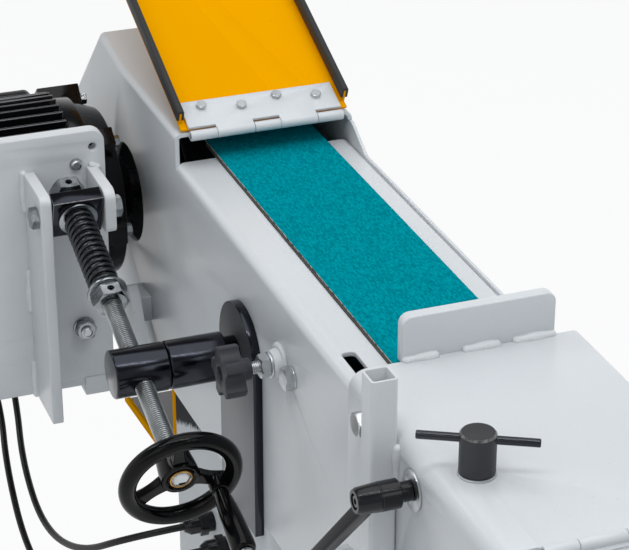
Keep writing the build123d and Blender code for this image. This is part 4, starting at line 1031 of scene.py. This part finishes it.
for x in FOOT_STUDS:
    carrier.append(set_on(twin(stud_end), (x, PLATE_FRONT + 10.0, FOOT_TOP), FRONT))
    carrier.append(set_on(twin(stud_end), (x, PLATE_FRONT, FOOT_LOW), FRONT))
    carrier.append(set_on(twin(flat_washer), (x, PLATE_FRONT, FOOT_LOW), FRONT))
    carrier.append(set_on(twin(big_nut), (x, PLATE_FRONT - 2.0, FOOT_LOW), FRONT, 12.0))
carrier.append(set_on(twin(big_head), (RIB_FACE, *BLOCK_PIVOT), LEFT, 6.0))
carrier.append(set_on(twin(big_head), (-139.6, *BLOCK_PIVOT), RIGHTWARD, -4.0))
for turn, reach in EARS:
    y = MOTOR_AXIS[0] + reach * math.cos(math.radians(turn))
    z = MOTOR_AXIS[1] + reach * math.sin(math.radians(turn))
    carrier.append(set_on(twin(ear_washer), (EAR_FACE, y, z), RIGHTWARD))
    carrier.append(set_on(twin(ear_head), (EAR_FACE + 1.0, y, z), RIGHTWARD, turn))
for piece in carrier:
    if not piece.data.materials:
        coat(piece, zinc)
carrier_screws = gather("carrier_fasteners_piece", carrier)
stand_in(carrier_screws, "carrier_fasteners")
print("carrier screws", len(carrier_screws.data.polygons), "faces")

# %% [markdown]
# The wall has two bolts with washers, the lock nut and washer of the tracking knob, and the washers under
# the lever and the clamp screw. Bolts and nut are copied from the same models as on the carrier. After
# that the models are removed.

# %% Screws and washers in the wall
WALL = -82.0
KNOB_AXIS = (-276.0, -60.0)
LEVER_AXIS = (-538.0, -22.0)
CLAMP_AXIS = (-53.0, -575.0)
WALL_BOLTS = ((-301.0, -60.0), (-451.0, -18.0))
wall = []
wall_washer = washer("wall_washer", 9.6, 5.3, 1.5)
for number, (y, z) in enumerate(WALL_BOLTS):
    wall.append(set_on(twin(wall_washer), (WALL, y, z), LEFT))
    wall.append(set_on(twin(big_head), (WALL - 1.5, y, z), LEFT, 8.0 + 15.0 * number))
wall.append(set_on(washer("lock_washer", 10.5, 5.3, 2.0), (WALL - 9.0, *KNOB_AXIS), LEFT))
wall.append(set_on(twin(big_nut), (WALL - 11.0, *KNOB_AXIS), LEFT, -6.0))
wall.append(set_on(washer("lever_washer", 15.0, 7.0, 2.0), (WALL, *LEVER_AXIS), LEFT))
wall.append(set_on(washer("clamp_washer", 13.25, 6.0, 2.0), (*CLAMP_AXIS, 6.0)))
wall_screws = gather("wall_fasteners_piece", wall)
coat(wall_screws, bright_zinc)
stand_in(wall_screws, "wall_fasteners")
for model in (big_head, big_nut, flat_washer, stud_end, ear_head, ear_washer, wall_washer):
    bpy.data.objects.remove(model)
print("wall screws", len(wall_screws.data.polygons), "faces")

# %% [markdown]
# The tracking knob is a star knob with five lobes. A short cylinder is cut by five round tools between the
# lobes, as the mould maker does it, and all edges are rounded. It turns on a threaded stud that comes out
# of a welded boss.

# %% Tracking knob, stud and boss
KNOB_FOOT = -108.0
KNOB_RADIUS = 21.0
VALLEY_RADIUS = 9.5
VALLEY_REACH = 24.2
LOBES = 5
knob = turned("tracking_knob_piece", [(KNOB_RADIUS, 8.0), (KNOB_RADIUS, 25.0)], 90)
for number in range(LOBES):
    valley = turned("valley", [(VALLEY_RADIUS, 0.0), (VALLEY_RADIUS, 30.0)], 40)
    turn = math.radians(360.0 / LOBES * number)
    valley.location = (VALLEY_REACH * MM * math.cos(turn), VALLEY_REACH * MM * math.sin(turn), 0.0)
    carve(knob, apply_place(valley))
carve(knob, turned("recess", [(5.6, 17.0), (6.2, 26.0)], 40))
round_edges(knob, 1.3, 3, 30.0)
neck = turned("neck", [(7.6, 0.0), (8.6, 0.8), (9.2, 6.0), (10.5, 9.0)], 48)
smooth(neck, 30.0)
knob = gather("tracking_knob_piece", [knob, neck])
set_on(knob, (KNOB_FOOT, *KNOB_AXIS), LEFT)
coat(knob, matte_plastic)
stand_in(knob, "tracking_knob")

stud = set_on(threaded("tracking_stud_piece", 5.0, 1.5, 0.0, 46.6), (-78.4, *KNOB_AXIS), LEFT)
stand_in(stud, "tracking_stud")

boss_rings = [(14.0, 0.0), (13.6, 1.0), (12.6, 2.6), (11.9, 5.0), (11.4, 8.2), (10.7, 9.0)]
boss = turned("tracking_boss_piece", boss_rings, 56)
smooth(boss, 40.0)
set_on(boss, (WALL, *KNOB_AXIS), LEFT)
coat(boss, grey_enamel)
stand_in(boss, "tracking_boss")
print("knob", len(knob.data.polygons), "faces, stud", len(stud.data.polygons))

# %% [markdown]
# The clamp screw has a turned head and a loose bar through it. The head's chamfer is rubbed bright, so the
# faces that lean take the worn steel.

# %% Clamp screw and bar
screw_head = turned("clamp_screw_piece", [(11.6, 0.0), (12.5, 0.7), (12.5, 28.4), (11.2, 30.0)], 72)
carve(screw_head, turned("dish", [(6.0, 29.8), (10.4, 30.2)], 48))
smooth(screw_head, 25.0)
shank = turned("shank", [(5.0, -21.0), (5.0, 1.0)], 32)
smooth(shank, 30.0)
screw_head = gather("clamp_screw_piece", [screw_head, shank])
set_on(screw_head, (*CLAMP_AXIS, 8.0))
coat(screw_head, turned_black, worn_steel)
second_finish(screw_head, 1, lambda face: 0.2 < face.normal.z < 0.97)
stand_in(screw_head, "clamp_screw")

BAR_HALF = 41.0
BAR_TURN = math.radians(-28.6)
bar_rings = [(2.4, -BAR_HALF), (3.0, 0.7 - BAR_HALF), (3.0, BAR_HALF - 0.7), (2.4, BAR_HALF)]
bar = turned("clamp_bar_piece", bar_rings, 32)
smooth(bar, 30.0)
set_on(bar, (*CLAMP_AXIS, 32.5), (math.cos(BAR_TURN), math.sin(BAR_TURN), 0.0))
coat(bar, spring_steel)
stand_in(bar, "clamp_bar")
print("clamp screw", len(screw_head.data.polygons), "faces, bar", len(bar.data.polygons))

# %% [markdown]
# The clamp lever is moulded in one: a tapered hub with a groove, and a flat arm that narrows toward its
# tip. The hub is turned. The arm starts as a box, whose end face is scaled down before its edges are
# rounded. A black socket screw sits in the hub's end.


# %% Clamp lever
def block(size, centre):
    """A box with this size and middle, in millimetres."""
    bpy.ops.object.select_all(action="DESELECT")
    middle = [MM * part for part in centre]
    bpy.ops.mesh.primitive_cube_add(size=1.0, location=middle, scale=[MM * part for part in size])
    return apply_place(bpy.context.object)


lever_rings = [
    (5.0, -9.0), (5.0, 0.0), (6.8, 0.2), (7.2, 0.8), (7.2, 9.2), (9.6, 9.2), (10.5, 10.0), (10.5, 23.0),
    (10.1, 23.4), (10.1, 24.2), (10.4, 24.6), (9.4, 38.6), (8.2, 41.0),
]
hub = turned("hub", lever_rings, 64)
carve(hub, turned("recess", [(5.6, 38.0), (5.8, 42.0)], 40))
smooth(hub, 25.0)
cap = turned("cap", [(4.6, 34.0), (4.6, 39.8), (4.1, 40.3)], 36)
key_hole = hexagon("key_hole", 4.2, 6.0)
key_hole.data.transform(Matrix.Translation((0.0, 0.0, 37.0 * MM)))
carve(cap, key_hole)
smooth(cap, 25.0)
for piece in (hub, cap):
    set_on(piece, (WALL - 2.0, *LEVER_AXIS), LEFT)

ARM_HEADING = Vector((-0.339, 0.475, -0.812)).normalized()
ARM_ROOT = (-111.0, *LEVER_AXIS)
ARM_LENGTH = 92.0
arm = block((12.0, 10.0, ARM_LENGTH), (0.0, 0.0, 0.5 * ARM_LENGTH))
bpy.ops.object.mode_set(mode="EDIT")
bpy.ops.mesh.select_all(action="DESELECT")
bpy.ops.object.mode_set(mode="OBJECT")
for face in arm.data.polygons:
    face.select = face.normal.z > 0.9
bpy.ops.object.mode_set(mode="EDIT")
bpy.ops.transform.resize(value=(0.9, 0.85, 1.0), center_override=(0.0, 0.0, ARM_LENGTH * MM))
bpy.ops.object.mode_set(mode="OBJECT")
round_edges(arm, 2.0, 4)
across = (Vector((1.0, 0.0, 0.0)) - ARM_HEADING * ARM_HEADING.x).normalized()
stand = Matrix((across, ARM_HEADING.cross(across), ARM_HEADING)).transposed().to_4x4()
arm.matrix_world = Matrix.Translation(head(*ARM_ROOT)) @ stand
lever = gather("clamp_lever_piece", [hub, apply_place(arm)])
coat(lever, lever_plastic)
stand_in(lever, "clamp_lever")
cap.name = "lever_screw"
extra(cap, black_steel, BODIES["clamp_lever"])
print("lever", len(lever.data.polygons), "faces")

# %% [markdown]
# The handwheel is one glossy moulding. Its rim is a circle carried once round the axis by the Screw
# modifier, with no rise. Its hub is turned, and then a shallow dish and the bore are cut out of it.

# %% Handwheel's rim and hub
RIM_AT = 307.0
RIM_SIZE = 43.0
RIM_SECTION = 7.0
rim = wound(
    RIM_SECTION, RIM_SIZE, RIM_AT, 28, 112, screw_offset=0.0, iterations=1, use_merge_vertices=True,
    merge_threshold=MERGE,
)
close_skin(rim, fill=False)

hub_rings = [
    (12.0, 281.0), (13.4, 282.0), (14.0, 285.0), (15.6, 300.0), (15.8, 306.8), (15.2, 307.7), (14.2, 308.0),
]
hub = turned("hub", hub_rings, 64)
carve(hub, turned("dish", [(9.8, 306.2), (13.0, 308.6)], 64))
carve(hub, turned("bore", [(9.4, 270.0), (9.4, 320.0)], 64))
smooth(hub, 30.0)
print("rim", len(rim.data.polygons), "faces, hub", len(hub.data.polygons))

# %% [markdown]
# Three spokes join rim and hub, slimmer in the middle. A spoke starts as a box with three cuts each way.
# Its points are drawn in toward the middle, and a Subdivision Surface makes it round. On the first spoke
# stands a boss for the grip.

# %% Spokes and boss
SPOKE_AT = 301.5
SPOKE_MIDDLE = 27.0
SPOKE_LENGTH = 30.0
SPOKE_TURN = -25.0
spoke = block((SPOKE_LENGTH, 14.0, 9.0), (SPOKE_MIDDLE, 0.0, SPOKE_AT))
bpy.ops.object.mode_set(mode="EDIT")
bpy.ops.mesh.select_all(action="SELECT")
bpy.ops.mesh.subdivide(number_cuts=3)
bpy.ops.object.mode_set(mode="OBJECT")
for vertex in spoke.data.vertices:
    middle = 1.0 - min(1.0, abs(vertex.co.x / MM - SPOKE_MIDDLE) / (0.5 * SPOKE_LENGTH)) ** 2
    vertex.co.y *= 1.0 - 0.34 * middle
    vertex.co.z = SPOKE_AT * MM + (vertex.co.z - SPOKE_AT * MM) * (1.0 - 0.15 * middle)
modify(spoke, "SUBSURF", levels=2, render_levels=2)
smooth(spoke, 60.0)
spokes = [spoke, twin(spoke), twin(spoke)]
for number, piece in enumerate(spokes):
    piece.data.transform(Matrix.Rotation(math.radians(SPOKE_TURN + 120.0 * number), 4, "Z"))

grip_boss = turned("grip_boss", [(7.0, 302.0), (7.6, 304.0), (7.6, 313.0), (6.9, 315.4), (6.0, 316.0)], 48)
smooth(grip_boss, 40.0)
GRIP_REACH = 34.0
GRIP_TURN = Matrix.Rotation(math.radians(SPOKE_TURN), 4, "Z")
GRIP_PLACE = GRIP_TURN @ Matrix.Translation((GRIP_REACH * MM, 0.0, 0.0))
grip_boss.data.transform(GRIP_PLACE)
wheel = gather("handwheel_piece", [hub, rim, grip_boss] + spokes)
on_spindle(wheel)
coat(wheel, gloss_plastic)
stand_in(wheel, "handwheel")
print("handwheel", len(wheel.data.polygons), "faces")

# %% [markdown]
# In the hub a brass ring shows round the spindle's end. Both are small turned forms. The ring rides with
# the handwheel and the end face with the spindle.

# %% Brass ring and spindle's end
bush = turned("hub_bush", [(9.3, 299.0), (9.3, 307.6), (9.0, 308.1)], 64)
carve(bush, turned("bore", [(8.05, 290.0), (8.05, 320.0)], 64))
smooth(bush, 30.0)
extra(on_spindle(bush), brass, BODIES["handwheel"])
spindle_face = turned("spindle_face", [(7.9, 300.0), (7.9, 307.4), (7.4, 307.9)], 48)
smooth(spindle_face, 30.0)
extra(on_spindle(spindle_face), turned_steel, BODIES["tension_spindle"])
print("ring", len(bush.data.polygons), "faces")

# %% [markdown]
# The grip turns on its own axle. It swells toward its end, where the slotted head of the axle sits in a
# recess. Both are turned, and a thin box cuts the slot.

# %% Grip
grip_rings = [
    (5.0, 316.3), (5.8, 316.8), (6.1, 320.0), (7.3, 327.0), (8.5, 338.0), (9.3, 352.0), (9.8, 368.0),
    (9.7, 373.0), (9.2, 375.2), (8.2, 376.3),
]
grip = turned("handle_grip_piece", grip_rings, 64)
carve(grip, turned("recess", [(6.2, 374.6), (6.4, 378.0)], 48))
smooth(grip, 35.0)
grip.data.transform(GRIP_PLACE)
on_spindle(grip)
coat(grip, gloss_plastic)
stand_in(grip, "handle_grip")

axle_rings = [(4.0, 303.0), (4.0, 375.0), (5.8, 375.2), (5.8, 377.4), (5.2, 378.4), (3.6, 379.0)]
screw_end = turned("grip_axle_piece", axle_rings, 48)
carve(screw_end, block((14.0, 1.4, 2.6), (0.0, 0.0, 379.0)))
smooth(screw_end, 30.0)
screw_end.data.transform(GRIP_PLACE)
on_spindle(screw_end)
coat(screw_end, zinc)
stand_in(screw_end, "grip_axle")
print("grip", len(grip.data.polygons), "faces")

# %% [markdown]
# Thick plates are welded, and the welds are painted over with them. A bead is a row of drops that run into
# each other: one ball is copied along the seam, a little bigger here and smaller there, a voxel Remesh
# melts the copies into one skin, and Smooth softens it.


# %% Welds
def drop_row(points, width):
    bpy.ops.object.select_all(action="DESELECT")
    bpy.ops.mesh.primitive_uv_sphere_add(segments=14, ring_count=9, radius=0.5 * width * MM)
    drop = bpy.context.object
    drops = []
    for number, point in enumerate(points):
        swell = 1.0 + 0.20 * math.sin(12.9 * number) + 0.10 * math.sin(5.3 * number)
        copy = twin(drop)
        copy.matrix_world = Matrix.Translation(head(*point)) @ Matrix.Scale(swell, 4)
        drops.append(copy)
    bpy.data.objects.remove(drop)
    return drops


def bead(name, points, width, body):
    weld = gather(name, drop_row(points, width))
    modify(weld, "REMESH", mode="VOXEL", voxel_size=0.13 * width * MM, use_smooth_shade=True)
    modify(weld, "SMOOTH", iterations=4, factor=0.5)
    smooth(weld, 180.0)
    extra(weld, grey_enamel, body)


def seam(start, end, pitch):
    count = max(2, round((Vector(end) - Vector(start)).length / pitch))
    return [Vector(start).lerp(Vector(end), number / count) for number in range(count + 1)]


RIB_WELDS = ((-46.0, -13.0), (-144.0, -108.0), (-231.0, -200.0))
STOP_WELDS = ((-38.0, -16.0), (9.0, 33.0), (49.0, 78.0))
RIB_SEAM = (RIB_FACE, PLATE_FRONT - 0.5)
STOP_SEAM = (-418.0, 6.4)
TUBE_SEAM = (-82.6, -510.0)
BOSS_DROPS = 34
BOSS_FOOT = 13.6
for number, (low, high) in enumerate(RIB_WELDS):
    bead(f"rib_weld_{number}", seam((*RIB_SEAM, low), (*RIB_SEAM, high), 3.0), 7.0, "motor_carrier")
bead("lug_weld", seam((-145.0, 38.5, -13.0), (-139.5, 38.5, -15.5), 2.5), 5.5, "motor_carrier")
for number, (left, right) in enumerate(STOP_WELDS):
    bead(f"stop_weld_{number}", seam((left, *STOP_SEAM), (right, *STOP_SEAM), 3.4), 7.0, "frame")
bead("tube_weld", seam((*TUBE_SEAM, -27.0), (*TUBE_SEAM, -6.0), 3.0), 7.0, "frame")
ring = []
for number in range(BOSS_DROPS):
    turn = 2.0 * math.pi * number / BOSS_DROPS
    y = KNOB_AXIS[0] + BOSS_FOOT * math.cos(turn)
    z = KNOB_AXIS[1] + BOSS_FOOT * math.sin(turn)
    ring.append((WALL - 1.0, y, z))
bead("boss_weld", ring, 5.2, "frame")
print("welds made")

# %% [markdown]
# The floor is a wide pale plane. For the camera and for mirror-like metal it is lifted toward white, so
# that only the machine's soft shadow stays on it. Light Path tells those rays apart from the light that
# falls on the machine.

# %% Floor
FLOOR_SIZE = 14.0
FLOOR_LIFT = 0.9
bpy.ops.object.select_all(action="DESELECT")
bpy.ops.mesh.primitive_plane_add(size=FLOOR_SIZE, location=(0.0, 0.0, -0.0005))
floor = bpy.context.object
floor.name = "floor"
pale = Finish("pale_floor")
pale.done(Base_Color=pale.mix(pale.noise(3.0), colour(238, 238, 238), colour(244, 244, 244)), Roughness=0.9)
seen = pale.ray("Is Camera Ray") + pale.ray("Is Glossy Ray")
matte = Socket(pale, pale.shader.outputs[0])
lifted = pale.mix_shaders(seen * FLOOR_LIFT, matte, pale.node("ShaderNodeEmission"))
pale.plug(pale.tree.nodes["Material Output"].inputs["Surface"], lifted)
coat(floor, pale.material)
print("floor", FLOOR_SIZE, "m wide")

# %% [markdown]
# The studio has white walls, a darker ceiling, and a dark front where the photographer stands, so that
# bright metal has light and dark to mirror. Only the camera and mirror-like or clear surfaces see this
# backdrop. Everything else gets an even soft light.

# %% Studio
world = bpy.data.worlds.new("studio")
scene.world = world
world.use_nodes = True
studio = Graph(world.node_tree)
studio.tree.nodes.clear()
mirrored = studio.math("MAXIMUM", studio.ray("Is Camera Ray"), studio.ray("Is Glossy Ray"))
seen = studio.math("MAXIMUM", mirrored, studio.ray("Is Transmission Ray"))
heading = studio.node("ShaderNodeTexCoord", output="Generated")
ceiling = studio.node("ShaderNodeSeparateXYZ", output="Z", Vector=heading).above(0.22, 0.75)
front = studio.node("ShaderNodeSeparateXYZ", output="Y", Vector=heading).above(-0.35, -0.80) * 0.65
dark = studio.math("MAXIMUM", ceiling, front)
walls = studio.mix(dark, (1.0, 1.0, 1.0, 1.0), (0.16, 0.17, 0.18, 1.0))
backdrop = studio.node("ShaderNodeBackground", Color=walls)
soft_light = studio.node("ShaderNodeBackground", Color=(0.90, 0.96, 1.0, 1.0), Strength=0.50)
surface = studio.tree.nodes.new("ShaderNodeOutputWorld")
studio.plug(surface.inputs["Surface"], studio.mix_shaders(seen, soft_light, backdrop))
print("studio", len(studio.tree.nodes), "nodes")

# %% [markdown]
# A large soft lamp hangs overhead, and weaker ones stand in front and behind. A thin strip lamp draws fine
# lines on round black pieces, which would look flat without them.

# %% Lamps
MACHINE = (0.0, 0.0, 0.9)


def soft_box(name, place, aim, size, power):
    bpy.ops.object.light_add(type="AREA", location=place)
    lamp = bpy.context.object
    lamp.name = name
    lamp.data.shape = "RECTANGLE"
    lamp.data.size = size[0]
    lamp.data.size_y = size[1]
    lamp.data.energy = power
    lamp.rotation_euler = (Vector(aim) - Vector(place)).to_track_quat("-Z", "Y").to_euler()


soft_box("overhead", (0.3, -0.2, 3.2), MACHINE, (2.4, 2.4), 31.0)
soft_box("front_left", (-1.9, -2.0, 2.7), MACHINE, (1.6, 1.6), 7.0)
soft_box("front_right", (0.9, -2.3, 2.3), MACHINE, (0.8, 0.8), 4.0)
soft_box("rear_left", (-1.6, 1.6, 3.0), (0.0, 0.2, 1.0), (0.8, 0.8), 9.0)
soft_box("strip", (-0.4, -0.9, 2.9), (-0.1, 0.0, 0.9), (2.2, 0.03), 9.0)
scene.view_settings.view_transform = "Standard"
print("lamps", len(bpy.data.lights))
